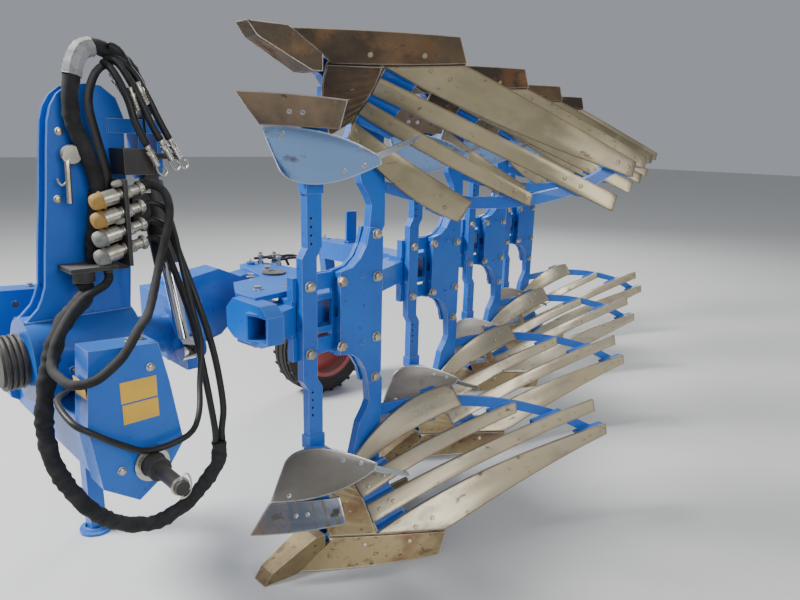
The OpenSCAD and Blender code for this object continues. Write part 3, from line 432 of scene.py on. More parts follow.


# %% The finishes of this plough
# name: ground colour, roughness, metallic, layers, and what else differs from the usual.
# An effect's values are, in order, blotch: scale, start, end, stretch; dust and lit tops: amount,
# everywhere, scale; worn and lit edges: width, amount, grain; height: from, to.
DUST, RUST, BARE = (0.42, 0.36, 0.29), (0.17, 0.075, 0.035), (0.50, 0.47, 0.43)
MIRRORED = (1.05, 1.35)        # in metres; what is higher has an upper body's tone
FINISHES = {
    "blue_paint": ((0.004, 0.096, 0.46), 0.36, 0.0, [
        (blotch, (2.6, 0.40, 0.68, 1.0), (0.006, 0.135, 0.55), 0.42, 0.0),
        (blotch, (46.0, 0.64, 0.70, 1.0), (0.03, 0.06, 0.16), 0.6, 0.0),
        # Partly dust and partly painted light: this light blue lightens the up-facing paint as
        # light from above does.
        (dust_and_lit_tops, (0.38, 0.06, 6.0), (0.13, 0.24, 0.38), 0.70, 0.0),
        # A painted highlight: the light blue on rounded edges stands for the sky's sheen there;
        # the bare layer below is real wear.
        (edges_worn_and_lit, (0.0040, 0.55, 22.0), (0.03, 0.27, 0.82), 0.4, 0.0),
        (edges_worn_and_lit, (0.0026, 0.8, 120.0), BARE, 0.45, 0.7)],
        dict(bump=0.10, coat=0.2)),
    "worn_steel": ((0.48, 0.43, 0.33), 0.25, 0.92, [
        (height, MIRRORED, (0.235, 0.205, 0.13), 0.32, 0.88),
        (blotch, (1.6, 0.40, 0.66, 0.5), (0.47, 0.40, 0.26), 0.36, 0.85),
        (blotch, (7.0, 0.52, 0.72, 0.3), (0.33, 0.28, 0.21), 0.48, 0.7),
        (blotch, (30.0, 0.62, 0.72, 0.35), (0.16, 0.09, 0.05), 0.7, 0.3),
        (edges_worn_and_lit, (0.010, 0.85, 16.0), (0.15, 0.10, 0.06), 0.65, 0.35),
        (dust_and_lit_tops, (0.30, 0.15, 9.0), (0.36, 0.31, 0.23), 0.8, 0.1)],
        dict(bump=0.16, bump_scale=60.0)),
    "rusty_steel": ((0.33, 0.255, 0.13), 0.42, 0.7, [
        (height, MIRRORED, (0.048, 0.037, 0.027), 0.46, 0.65),
        (blotch, (5.0, 0.52, 0.66, 0.6), (0.22, 0.11, 0.05), 0.5, 0.5),
        (blotch, (3.4, 0.46, 0.66, 0.6), (0.13, 0.085, 0.045), 0.6, 0.4),
        (blotch, (14.0, 0.54, 0.66, 0.5), (0.13, 0.06, 0.025), 0.8, 0.1),
        (blotch, (60.0, 0.60, 0.68, 0.5), (0.07, 0.035, 0.02), 0.85, 0.05),
        (edges_worn_and_lit, (0.006, 0.8, 30.0), (0.62, 0.57, 0.48), 0.28, 0.95),
        (dust_and_lit_tops, (0.3, 0.12, 9.0), (0.26, 0.21, 0.13), 0.9, 0.05)],
        dict(bump=0.3, bump_scale=80.0)),
    "dark_steel": ((0.33, 0.36, 0.41), 0.30, 0.95, [
        (blotch, (2.2, 0.40, 0.62, 0.6), (0.17, 0.155, 0.14), 0.45, 0.8),
        (blotch, (12.0, 0.56, 0.70, 0.5), (0.12, 0.075, 0.045), 0.7, 0.3),
        (edges_worn_and_lit, (0.008, 0.8, 30.0), (0.60, 0.60, 0.60), 0.22, 1.0),
        (dust_and_lit_tops, (0.25, 0.2, 9.0), (0.30, 0.26, 0.20), 0.85, 0.0)],
        dict(bump=0.2, bump_scale=70.0)),
    "skim_board": ((0.20, 0.19, 0.175), 0.34, 0.92, [
        (blotch, (1.9, 0.42, 0.60, 0.6), (0.13, 0.115, 0.10), 0.42, 0.85),
        # On the upper boards the blue in the polished steel's colour is a painted reflection of
        # the sky.
        (height, MIRRORED, (0.16, 0.26, 0.46), 0.22, 0.97),
        (blotch, (9.0, 0.58, 0.70, 0.5), (0.12, 0.075, 0.045), 0.7, 0.3),
        (edges_worn_and_lit, (0.010, 0.85, 22.0), (0.58, 0.58, 0.57), 0.22, 1.0),
        (dust_and_lit_tops, (0.2, 0.2, 9.0), (0.30, 0.26, 0.20), 0.85, 0.0)],
        dict(bump=0.2, bump_scale=70.0)),
    "skim_blade": ((0.14, 0.165, 0.215), 0.27, 0.95, [
        (height, MIRRORED, (0.10, 0.08, 0.055), 0.42, 0.75),
        (blotch, (11.0, 0.54, 0.64, 5.0), (0.13, 0.105, 0.08), 0.5, 0.6),
        (blotch, (2.4, 0.46, 0.58, 0.8), (0.20, 0.14, 0.09), 0.5, 0.6),
        (blotch, (24.0, 0.60, 0.66, 0.4), (0.06, 0.05, 0.045), 0.75, 0.3),
        (edges_worn_and_lit, (0.007, 0.8, 30.0), (0.55, 0.55, 0.55), 0.24, 1.0),
        (dust_and_lit_tops, (0.25, 0.2, 9.0), (0.30, 0.26, 0.20), 0.85, 0.0)],
        dict(bump=0.2, bump_scale=70.0)),
    "black_paint": ((0.018, 0.018, 0.020), 0.42, 0.0, [
        (blotch, (9.0, 0.45, 0.70, 1.0), (0.035, 0.034, 0.034), 0.55, 0.0),
        (dust_and_lit_tops, (0.6, 0.12, 8.0), (0.26, 0.23, 0.20), 0.85, 0.0),
        (edges_worn_and_lit, (0.002, 0.7, 80.0), (0.30, 0.29, 0.28), 0.45, 0.7)],
        dict(bump=0.1)),
    "zinc": ((0.50, 0.48, 0.42), 0.24, 0.95, [
        (blotch, (24.0, 0.45, 0.70, 1.0), (0.28, 0.24, 0.17), 0.42, 0.85),
        (dust_and_lit_tops, (0.5, 0.2, 20.0), DUST, 0.85, 0.1)],
        dict(bump=0.1, bump_scale=160.0)),
    "rod_chrome": ((0.80, 0.80, 0.82), 0.10, 1.0, [
        (blotch, (30.0, 0.55, 0.75, 1.0), (0.60, 0.58, 0.55), 0.3, 1.0)], {}),
    "red_paint": ((0.42, 0.025, 0.022), 0.38, 0.0, [
        (blotch, (6.0, 0.42, 0.66, 1.0), (0.32, 0.035, 0.03), 0.5, 0.0),
        (dust_and_lit_tops, (0.8, 0.35, 9.0), DUST, 0.9, 0.0),
        (edges_worn_and_lit, (0.003, 0.8, 60.0), RUST, 0.8, 0.1)],
        dict(bump=0.12, coat=0.2)),
    "tyre_rubber": ((0.014, 0.014, 0.015), 0.72, 0.0, [
        (blotch, (7.0, 0.40, 0.65, 1.0), (0.030, 0.028, 0.027), 0.85, 0.0),
        (dust_and_lit_tops, (0.45, 0.15, 12.0), (0.26, 0.22, 0.18), 0.95, 0.0)],
        dict(bump=0.3, bump_scale=140.0)),
    "hose_rubber": ((0.008, 0.008, 0.009), 0.42, 0.0, [
        (blotch, (30.0, 0.45, 0.70, 1.0), (0.016, 0.016, 0.017), 0.55, 0.0),
        (dust_and_lit_tops, (0.2, 0.06, 16.0), (0.20, 0.19, 0.17), 0.9, 0.0)],
        dict(bump=0.15, bump_scale=300.0)),
    "sleeve_cloth": ((0.010, 0.010, 0.011), 0.85, 0.0, [
        (blotch, (18.0, 0.42, 0.68, 1.0), (0.028, 0.028, 0.030), 0.9, 0.0),
        (dust_and_lit_tops, (0.25, 0.08, 14.0), (0.20, 0.19, 0.17), 0.95, 0.0)],
        dict(bump=0.6, bump_scale=420.0)),
    "yellow_plate": ((0.72, 0.42, 0.03), 0.45, 0.0, [
        (blotch, (14.0, 0.45, 0.72, 1.0), (0.60, 0.36, 0.05), 0.55, 0.0),
        (dust_and_lit_tops, (0.6, 0.3, 18.0), DUST, 0.85, 0.0),
        (edges_worn_and_lit, (0.001, 0.8, 120.0), (0.20, 0.15, 0.06), 0.6, 0.0)],
        dict(bump=0.08)),
    "yellow_rubber": ((0.36, 0.21, 0.04), 0.6, 0.0, [
        (blotch, (40.0, 0.42, 0.66, 1.0), (0.32, 0.18, 0.05), 0.75, 0.0),
        (dust_and_lit_tops, (0.6, 0.3, 30.0), (0.25, 0.20, 0.13), 0.9, 0.0)],
        dict(bump=0.2)),
    "grey_rubber": ((0.20, 0.22, 0.20), 0.6, 0.0, [
        (blotch, (40.0, 0.42, 0.66, 1.0), (0.12, 0.13, 0.12), 0.75, 0.0),
        (dust_and_lit_tops, (0.6, 0.3, 30.0), DUST, 0.9, 0.0)],
        dict(bump=0.2)),
    "grey_wrap": ((0.30, 0.31, 0.32), 0.5, 0.0, [
        (blotch, (30.0, 0.42, 0.66, 1.0), (0.16, 0.16, 0.17), 0.7, 0.0),
        (dust_and_lit_tops, (0.5, 0.2, 24.0), DUST, 0.9, 0.0)],
        dict(bump=0.5)),
}
finishes = {name: finish_of(name, *values, **more)
            for name, (*values, more) in FINISHES.items()}
print("finishes:", sorted(finishes))

# %% Give every solid and every hose its finish
slot_of = {part["node"]: part["material_slot"] for part in frame["record"]["subparts"]}
for name, node in nodes.items():
    finish = finishes["rusty_steel" if name.startswith("shares") else slot_of[name]]
    node.data.materials.clear()
    node.data.materials.append(finish)
for name, piece in hoses.items():
    piece.data.materials.append(finishes[piece["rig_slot"]])
print("solids finished:", len(nodes))

# %% [markdown]
# ## Making a piece by hand
# The small parts of a farm machine come from a few ways of making: bolts are upset from
# hexagon bar, collars and caps are turned on a lathe, handles and pipes are bent from rod,
# and plates are cut from sheet. The helpers below follow the same ways. Each begins with a
# primitive or a single point, shapes it in edit mode, and brings its place into its mesh.

# %% Begin a piece, choose in edit mode, and end a piece
SMOOTH_BELOW = 0.6        # edges flatter than this, in radians, are shaded smooth


def make_active(*pieces):
    """Select only these pieces, the first one active."""
    bpy.ops.object.select_all(action="DESELECT")
    for piece in pieces:
        piece.select_set(True)
    bpy.context.view_layer.objects.active = pieces[0]


def start(kind, at=(0, 0, 0), **sizes):
    bpy.ops.object.select_all(action="DESELECT")
    getattr(bpy.ops.mesh, "primitive_" + kind + "_add")(location=at, **sizes)
    bpy.ops.object.transform_apply(location=True, rotation=True, scale=True)
    return bpy.context.active_object


def edit(kind="FACE"):
    """Enter edit mode with everything selected."""
    bpy.ops.object.mode_set(mode="EDIT")
    bpy.ops.mesh.select_mode(type=kind)
    bpy.ops.mesh.select_all(action="SELECT")


def leave_edit():
    bpy.ops.object.mode_set(mode="OBJECT")


def pick(wanted):
    """Select only the faces whose middle and normal pass the test."""
    shape = bmesh.from_edit_mesh(bpy.context.active_object.data)
    for face in shape.faces:
        face.select_set(False)
    for face in shape.faces:
        if wanted(face.calc_center_median(), face.normal):
            face.select_set(True)
    bmesh.update_edit_mesh(bpy.context.active_object.data)


def raise_face(inset, height):
    bpy.ops.mesh.inset(thickness=inset)
    bpy.ops.transform.translate(value=(0, 0, height))


def round_edges(piece, width, rounds=2):
    rounder = piece.modifiers.new("edges", "BEVEL")
    rounder.width, rounder.segments, rounder.angle_limit = width, rounds, SMOOTH_BELOW
    bpy.ops.object.modifier_apply(modifier="edges")


def end(piece, name, body, material_slot, finish=None, bevel=0.0):
    piece.name = piece.data.name = name
    make_active(piece)
    if bevel:
        round_edges(piece, bevel)
    bpy.ops.object.shade_smooth_by_angle(angle=SMOOTH_BELOW)
    if not piece.data.materials:
        piece.data.materials.append(finishes[finish or material_slot])
    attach(piece, body)
    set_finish(piece, material_slot)
    print(name, len(piece.data.polygons), "faces")
    return piece


# %% Join parts, and lay out copies of a model as one piece on one body
def joined(*parts):
    make_active(*parts)
    if len(parts) > 1:
        bpy.ops.object.join()
    return parts[0]


def copy_of(model, change):
    """A copy with its own mesh, moved by a matrix."""
    one = bpy.data.objects.new(model.name, model.data.copy())
    one.data.transform(change)
    bpy.context.scene.collection.objects.link(one)
    return one


def spread(name, model, spots, body, material_slot, finish=None):
    """Each spot is (place, the way the copy faces, its turn about that way)."""
    copies = []
    for where, facing, roll in spots:
        turned = Vector(facing).to_track_quat("Z", "Y").to_matrix().to_4x4()
        copies.append(copy_of(
            model, Matrix.Translation(where) @ turned @ Matrix.Rotation(roll, 4, "Z")))
    return end(joined(*copies), name, body, material_slot, finish)


def put_away(*models):
    for model in models:
        bpy.data.objects.remove(model)


def about(middle, change):
    """A turn or a stretch about a middle that isn't the origin."""
    return Matrix.Translation(middle) @ change @ Matrix.Translation(-middle)


# %% Lathe work: an outline drawn point by point, then spun round an axis
DOUBLES = 0.00002         # metres


def turned_part(outline, centre=(0, 0, 0), axis=(0, 0, 1), steps=20):
    """The outline is (radius, along the axis) in millimetres; centre is in metres."""
    piece = start("plane", size=0.001)
    centre, axis = Vector(centre), Vector(axis).normalized()
    out = axis.orthogonal().normalized()
    spots = [centre + out * r / 1000 + axis * a / 1000 for r, a in outline]
    edit("VERT")
    bpy.ops.mesh.merge(type="CENTER")
    bpy.ops.transform.translate(value=spots[0])
    for before, after in zip(spots, spots[1:]):
        bpy.ops.mesh.extrude_region_move(TRANSFORM_OT_translate={"value": after - before})
    bpy.ops.mesh.select_all(action="SELECT")
    bpy.ops.mesh.spin(steps=steps, angle=2 * math.pi, center=centre, axis=axis)
    bpy.ops.mesh.select_all(action="SELECT")
    bpy.ops.mesh.remove_doubles(threshold=DOUBLES)
    bpy.ops.mesh.normals_make_consistent(inside=False)
    leave_edit()
    return piece


# %% Bent rod and weld beads: a round bar along a smooth line
def bent_rod(route, radius, parts=4, ripple=0.0):
    line = smooth_line([place(*p) for p in route], parts)
    curve = bpy.data.curves.new("rod", "CURVE")
    curve.dimensions, curve.use_fill_caps = "3D", True
    curve.bevel_depth, curve.bevel_resolution = radius / 1000, 2
    spline = curve.splines.new("POLY")
    spline.points.add(len(line) - 1)
    for i, (point, spot) in enumerate(zip(spline.points, line)):
        point.co = (*spot, 1)
        point.radius = 1 - ripple * (i % 2)
    rod = bpy.data.objects.new("rod", curve)
    bpy.context.scene.collection.objects.link(rod)
    make_active(rod)
    bpy.ops.object.convert(target="MESH")
    return bpy.context.active_object


# %% A block between two corners of the drawing, and a sheet that gets its thickness
def block(low, high, bevel=0.0, rounds=2):
    low, high = place(*low), place(*high)
    piece = start("cube", size=1)
    edit()
    bpy.ops.transform.resize(value=high - low)
    leave_edit()
    if bevel:
        round_edges(piece, bevel / 1000, rounds)
    piece.data.transform(Matrix.Translation((low + high) / 2))
    return piece


def thicken(sheet, thick):
    """Extrude a sheet back by millimetres, and turn its faces outwards."""
    edit()
    bpy.ops.mesh.extrude_region_move(TRANSFORM_OT_translate={"value": (0, -thick / 1000, 0)})
    bpy.ops.mesh.select_all(action="SELECT")
    bpy.ops.mesh.normals_make_consistent(inside=False)
    leave_edit()
    return sheet


# %% [markdown]
# ## Bolts and nuts
# The frame is held by hexagon bolts: large ones through cheeks and legs, middle ones in the
# consoles, and small painted ones. A bolt is modelled once, with its washer and the chamfer
# on its head, and then laid out at every place, heads on the left and nuts on the right.

# %% The models of a bolt's head and of a nut with its thread's end
def hexagon(corner_radius, head, washer, thick, stud=0.0):
    """A head on its washer: two radii and two heights, then the thread's end beyond."""
    radius, head, washer, thick, stud = (
        v / 1000 for v in (corner_radius, head, washer, thick, stud))
    top = thick + head * 1.14
    piece = start("cylinder", at=(0, 0, thick / 2), vertices=20, radius=washer, depth=thick)
    edit()
    pick(lambda middle, normal: normal.z > 0.9)
    raise_face(washer * 0.08, thick * 0.2)
    bpy.ops.mesh.primitive_cylinder_add(
        vertices=6, radius=radius, depth=head, location=(0, 0, thick + head / 2))
    pick(lambda middle, normal: normal.z > 0.9 and middle.z > thick + head * 0.9)
    raise_face(radius * 0.16, head * 0.14)
    if stud:
        bpy.ops.mesh.primitive_cylinder_add(
            vertices=12, radius=radius * 0.55, depth=stud, location=(0, 0, top + stud / 2))
        pick(lambda middle, normal: normal.z > 0.9 and middle.z > top + stud * 0.9)
        raise_face(radius * 0.1, radius * 0.1)
    leave_edit()
    return piece


large_head, large_nut = hexagon(17.5, 12.5, 20, 3.5), hexagon(17.5, 15, 20, 3.5, 8)
middle_head, middle_nut = hexagon(14, 10, 17, 3), hexagon(14, 12, 17, 3, 7)
small_head, small_nut = hexagon(9, 7, 12, 2), hexagon(9, 8, 12, 2, 4)

# %% Places of the bolts: x, and distance from the axis, on the cheeks and the stalks
CHEEK_FACE, FAR_FACE = 0, -65.6
LARGE_BOLTS = [(0, 121), (-170, 118), (-164, 279), (143, 122)]
PAINTED_BOLTS = [(-103, 129), (120, 112)]
sides = [(number, upper) for number in (1, 2, 3, 4) for upper in (False, True)]


def bolt_spots(bolts, y, facing):
    return [(at_station(number, x, y, AXIS_HEIGHT - away, upper), facing, 0.4 * number + x)
            for number, upper in sides for x, away in bolts]


for name, model, bolts, y, way, finish in (
        ("cheek_bolts", large_head, LARGE_BOLTS, CHEEK_FACE, 1, "zinc"),
        ("cheek_nuts", large_nut, LARGE_BOLTS, FAR_FACE, -1, "zinc"),
        ("painted_bolts", small_head, PAINTED_BOLTS, CHEEK_FACE, 1, "blue_paint")):
    spread(name, model, bolt_spots(bolts, y, (0, way, 0)), "frame", finish)

# %% Console bolts, on the lugs of the first station and on the plates of the others
LUG_TOP, PLATE_TOP = 88.6, 70.3
CONSOLE_BOLTS = [(130, -395), (225, -195), (113, -163), (-60, -300), (0, -480)]
PLATE_BOLTS = [(60, -69), (-60, -71), (-165, -75)]
console = [(1, x, y, LUG_TOP) for x, y in CONSOLE_BOLTS]
console += [(number, x, y, PLATE_TOP) for number in (2, 3, 4) for x, y in PLATE_BOLTS]
for name, model, way in (("console_bolts", middle_head, 1), ("console_nuts", middle_nut, -1)):
    spread(name, model, [(at_station(number, x, y, AXIS_HEIGHT + way * top), (0, 0, way), x)
                         for number, x, y, top in console], "frame", "zinc")

# %% [markdown]
# ## Plough bolts on the blades
# Strips, shares and skimmers wear out, so each is held by countersunk bolts that lie flush
# in the working surface, with a nut behind the seat. Their places are worked out from the
# same edges as the blades, so every bolt sits on its surface and looks along its normal.

# %% The working surfaces, with the drawing's numbers
# A blade's low edge and then its top edge, each by its first, middle and last (x, z). The
# last strip's points have their y as well, because it leaves the common surface.
STRIPS = [
    [(-272, 86), (-637, 231), (-940, 386), (-46, 102), (-512, 290), (-914, 442)],
    [(-51, 132), (-475, 309), (-851, 509), (-59, 182), (-477, 370), (-827, 567)],
    [(-59, 204), (-334, 349), (-597, 509), (-56, 243), (-321, 395), (-591, 554)],
    [(-56, 268, -2), (-250, 393, 58), (-428, 541, 232),
     (-34, 322, -2), (-262, 515, 46), (-412, 620, 188)]]
SHARE = [(226, 6), (0, 3), (-232, 3), (88, 98), (-93, 93), (-275, 80)]
SHIN = [(-38, 103), (-54, 182), (-46, 272), (100, 103), (66, 219), (28, 318)]
SKIM_BOARD = [(302, 293), (130, 312), (-25, 380), (236, 425), (136, 474), (-35, 404)]
SKIM_BLADE = [(385, 194), (255, 198), (106, 210), (306, 290), (211, 294), (105, 298)]


def board_y(x, z):
    """How far left the share's and the strips' surface stands, by the drawing's formula."""
    back = 320 - 1.25 * z + 0.0011 * z * z - x
    lean = 0.6 * max(0, z - 100) * (x + 850) / 1000
    rise = (0.84 + 0.00043 * (z - 80)) * back - 0.34 * back * back / 1000
    return -30 + rise - lean * min(1, max(0, back) / 130)


def skim_y(x, z):
    """The same for the skimmer's board and blade."""
    back = 372 - 0.9 * (z - 198) + 0.0012 * (z - 198) ** 2 - x
    return -20 + 0.85 * back - 0.6 * back * back / 1000


def edge_spot(ends, s, skim):
    """A place on the arc through an edge's first, middle and last point (x, z, maybe y)."""
    shares = ((1 - s) * (1 - 2 * s), 4 * s * (1 - s), s * (2 * s - 1))
    x, z, *y = (sum(share * v for share, v in zip(shares, values)) for values in zip(*ends))
    return Vector((x, y[0] if y else skim_y(x, z) if skim else board_y(x, z), z))


def on_blade(edges, t, across, skim=False):
    """The place and the normal on a blade: t along it, across from its low to its top edge."""
    low, low_next = (edge_spot(edges[:3], s, skim) for s in (t, t + 0.001))
    top, top_next = (edge_spot(edges[3:], s, skim) for s in (t, t + 0.001))
    spot = low.lerp(top, across)
    normal = (low_next.lerp(top_next, across) - spot).cross(top - low).normalized()
    return spot, normal if normal.y > 0 else -normal


# %% [markdown]
# ## Mouldboard strips and skimmer blades
# A strip is rolled plate, bent and twisted to the mouldboard's surface, so its face is one
# smooth curve that mirrors the sky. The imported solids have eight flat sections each. A fine
# grid is laid on the same surface and extruded to the plate's thickness, its edges are
# rounded, and it is shaded smooth. It keeps the solid's place and size.

# %% A blade as a fine grid on its surface, extruded back to its thickness
LONG_CELLS, CROSS_CELLS = 32, 3
STRIP_THICK, SKIM_THICK = 10, 9
STRIP_ROUNDING, SKIM_ROUNDING = 0.0011, 0.001
NEAR_END = 0.99999


def fine_blade(edges, thick, number, upper, skim=False):
    sheet = start("grid", x_subdivisions=LONG_CELLS, y_subdivisions=CROSS_CELLS, size=1)
    for vertex in sheet.data.vertices:
        spot, _ = on_blade(edges, min(vertex.co.x + 0.5, NEAR_END), vertex.co.y + 0.5, skim)
        vertex.co = at_station(number, *spot, upper)
    return thicken(sheet, thick)


for number in (1, 2, 3, 4):
    strips = [fine_blade(edges, STRIP_THICK, number, upper)
              for edges in STRIPS for upper in (False, True)]
    strips = end(joined(*strips), f"mouldboard_strips_{number}", "frame", "worn_steel",
                 bevel=STRIP_ROUNDING)
    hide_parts(f"strips_{number}")
    blades = []
    for edges, finish in ((SKIM_BOARD, "skim_board"), (SKIM_BLADE, "skim_blade")):
        for upper in (False, True):
            blades.append(fine_blade(edges, SKIM_THICK, number, upper, True))
            blades[-1].data.materials.append(finishes[finish])
    blades = end(joined(*blades), f"skimmer_blades_{number}", "frame", "dark_steel",
                 bevel=SKIM_ROUNDING)
    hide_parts(f"skimmers_{number}")

# %% [markdown]
# Behind each skimmer board a flat bar with a row of holes carries on its line, and behind the
# joints of share, shin and strips lies a thin steel packing that closes the seam.

# %% The bars behind the skimmers and the packings behind the joints
def sheet_bar(corners, thick, number, upper):
    """Corners (x, y, z) go round a bent bar in pairs, one pair for each cross line."""
    cells = len(corners) // 2 - 1
    sheet = start("grid", x_subdivisions=cells, y_subdivisions=1, size=1)
    for vertex in sheet.data.vertices:
        pair = round((vertex.co.x + 0.5) * cells)
        vertex.co = at_station(number, *corners[2 * pair + (vertex.co.y > 0)], upper)
    return thicken(sheet, thick)


TAIL_BAR = [(40, 116, 398), (45, 112, 426), (-10, 142, 376), (-4, 138, 404), (-70, 168, 350),
            (-63, 164, 376), (-130, 184, 326), (-123, 180, 350), (-186, 190, 303),
            (-178, 186, 326)]
HOLE_ROW = (Vector(TAIL_BAR[4]), Vector(TAIL_BAR[9]))
BAR_THICK, PACKING_THICK, PACKING_DEPTH, HOLES = 6, 3, 11, 4
# Each joint between blades, as (x, z) at its two ends, and how far its packing reaches over.
JOINTS = [((100, 101), (-280, 80), (0, 9)), ((-47, 100), (-56, 275), (9, 0))]
# The bar's holes are black discs with rims: painted shade for the dark inside of each hole.
hole_shade_disc = turned_part([(0, 0.4), (4.5, 0.4), (5, 0.9), (6.4, 0.9), (6.8, 0)], steps=14)
for number in (1, 2, 3, 4):
    holes, bars, packings = [], [], []
    for upper in (False, True):
        bars.append(sheet_bar(TAIL_BAR, BAR_THICK, number, upper))
        for k in range(1, HOLES + 1):
            spot = HOLE_ROW[0].lerp(HOLE_ROW[1], k / (HOLES + 1)) + Vector((0, 1, 0))
            facing = (0.25, 1, -0.15 if upper else 0.15)
            holes.append((at_station(number, *spot, upper), facing, 0))
        for (ax, az), (bx, bz), (dx, dz) in JOINTS:
            rims = []
            for k in range(9):
                x, z = ax + (bx - ax) * k / 8, az + (bz - az) * k / 8
                for u, v in ((x - dx, z - dz), (x + dx, z + dz)):
                    rims.append((u, board_y(u, v) - PACKING_DEPTH, v))
            packings.append(sheet_bar(rims, PACKING_THICK, number, upper))
    end(joined(*bars), f"skimmer_tail_bars_{number}", "frame", "dark_steel")
    end(joined(*packings), f"joint_packings_{number}", "frame", "worn_steel", "rusty_steel")
    spread(f"tail_bar_hole_shades_{number}", hole_shade_disc, holes, "frame", "black_paint")
put_away(hole_shade_disc)

# %% A countersunk head with its shallow dish, and the bolts' places on each blade
flush_head = turned_part(
    [(0, 0.3), (3.5, 0.3), (4.2, 0.9), (8.0, 0.9), (8.8, 0.4), (8.8, -1.2)], steps=16)
# name, blade, whether it is a skimmer's, distance of the nut behind, then (t, across)
BLADE_BOLTS = [
    ("strip_bolts", STRIPS[0], False, 34.3,
     [(0.035, 0.55), (0.10, 0.5), (0.91, 0.5), (0.965, 0.5)]),
    ("strip_bolts", STRIPS[1], False, 34.3, [(0.04, 0.5), (0.10, 0.5), (0.78, 0.5), (0.85, 0.5)]),
    ("strip_bolts", STRIPS[2], False, 34.3, [(0.06, 0.5), (0.17, 0.5), (0.91, 0.5), (0.97, 0.5)]),
    ("strip_bolts", STRIPS[3], False, 34.3, [(0.05, 0.3), (0.08, 0.72), (0.80, 0.4), (0.85, 0.7)]),
    ("share_bolts", SHARE, False, 34.3, [(0.31, 0.72), (0.69, 0.72)]),
    ("shin_bolts", SHIN, False, 34.3, [(0.33, 0.45), (0.54, 0.45)]),
    ("skimmer_bolts", SKIM_BOARD, True, 9.3, [(0.70, 0.74), (0.86, 0.68), (0.13, 0.14)]),
    ("skimmer_bolts", SKIM_BLADE, True, 33.3, [(0.43, 0.55), (0.57, 0.55)]),
]
heads, nuts = {}, []
for name, edges, skim, depth, bolts in BLADE_BOLTS:
    for t, across in bolts:
        spot, normal = on_blade(edges, t, across, skim)
        behind = spot - Vector((0, depth, 0))
        for number, upper in sides:
            facing = Vector((normal.x, normal.y, -normal.z if upper else normal.z))
            heads.setdefault(name, []).append((at_station(number, *spot, upper), facing, 0))
            nuts.append((at_station(number, *behind, upper), -facing, t * 9))
for name, spots in heads.items():
    spread(name, flush_head, spots, "frame", "zinc",
           "dark_steel" if name == "skimmer_bolts" else "worn_steel")
spread("blade_nuts", small_nut, nuts, "frame", "zinc")
put_away(large_head, large_nut, small_head, small_nut, middle_head, middle_nut, flush_head)

# %% [markdown]
# ## Headstock: pins, plates and bolts
# The top link's pin has a thick bright head and a handle that hangs down, so that it can be
# pulled out with a glove on. The lower pins have collars and spring pins. The warning plates
# of such a machine are thin yellow sheets; here they are left blank.

# %% The top pin's head with its handle
LEFT_PLATE = AXIS_Y + 39
pin_head = turned_part([(0, 0), (24, 0), (26, 2), (26, 13), (23.5, 15.5), (0, 16.5)],
                       place(830, LEFT_PLATE + 22.2, 1502), (0, 1, 0), 32)
handle = bent_rod([(834, -122, 1500), (842, -120, 1488), (844, -118, 1440), (846, -118, 1374)],
                  7.5)
hook = bent_rod([(845, -124, 1432), (858, -126, 1422), (866, -128, 1430), (868, -130, 1440)], 3)
end(joined(pin_head, handle, hook), "top_pin_handle", "headstock", "zinc")

# %% Bolts of the headstock, as (place, facing, turn)
plate_head, plate_nut = hexagon(9, 7, 11, 2), hexagon(9, 8, 11, 2, 5)
RIGHT_PLATE, BRACKET_REACH, TOP_SLOPE = AXIS_Y - 39, 430, 0.066
heads, nuts = [], []
for x, z in ((846, 1562), (866, 1384)):
    heads.append((place(x, LEFT_PLATE, z), (0, 1, 0), x))
    nuts.append((place(x, RIGHT_PLATE, z), (0, -1, 0), z))
for side in (1, -1):
    y = AXIS_Y + side * BRACKET_REACH
    heads += [(place(x, y, z), (0, side, 0), y) for x, z in ((902, 748), (812, 1000))]
for x, y in ((846, 205), (812, 190), (846, -585), (812, -570)):
    top = AXIS_HEIGHT + 119 + (x - 812) * TOP_SLOPE
    heads.append((place(x, y, top), (-TOP_SLOPE, 0, 1), x))
spread("headstock_bolts", plate_head, heads, "headstock", "zinc")
spread("headstock_nuts", plate_nut, nuts, "headstock", "zinc")
put_away(plate_head, plate_nut)

# %% Collars and spring pins of the lower link pins, and their rings
COLLAR = [(33, 0), (44, 0), (46, 3), (46, 10), (43, 13), (33, 13), (33, 0)]
NOSE = [(18.5, 0), (22, 0), (22.8, 1.5), (22.8, 7), (21, 9), (18.5, 9), (18.5, 0)]
# The pin and the ring, as (x, distance from the axis, z), and their radii.
SPRING_PIN = ([(827, 594, 771), (827, 594, 722), (827, 594, 714)], 4)
PULL_RING = ([(827, 594, 770), (812, 596, 776), (804, 598, 755), (806, 598, 728),
              (818, 596, 716), (827, 594, 716)], 2)
for name, side in (("left_pin_collar", 1), ("right_pin_collar", -1)):
    rings = [turned_part(outline, place(827, AXIS_Y + side * away, 744), (0, side, 0), steps)
             for outline, away, steps in ((COLLAR, BRACKET_REACH, 32), (NOSE, 584, 24))]
    rods = [bent_rod([(x, AXIS_Y + side * away, z) for x, away, z in route], radius)
            for route, radius in (SPRING_PIN, PULL_RING)]
    end(joined(*rings, *rods), name, "headstock", "zinc")

# %% Blank yellow plates on the left bracket, each with a small rim, and a bare one on top
def blank_plate(low, high, lean=0):
    piece = block(low, high)
    thin = min(range(3), key=lambda i: abs(high[i] - low[i]))
    edit()
    pick(lambda middle, normal: normal[thin] > 0.9)
    bpy.ops.mesh.inset(thickness=0.0025)
    bpy.ops.transform.translate(value=[-0.0003 if i == thin else 0 for i in range(3)])
    leave_edit()
    if lean:
        middle = (place(*low) + place(*high)) / 2
        piece.data.transform(about(middle, Matrix.Rotation(math.radians(lean), 4, "Y")))
    return piece


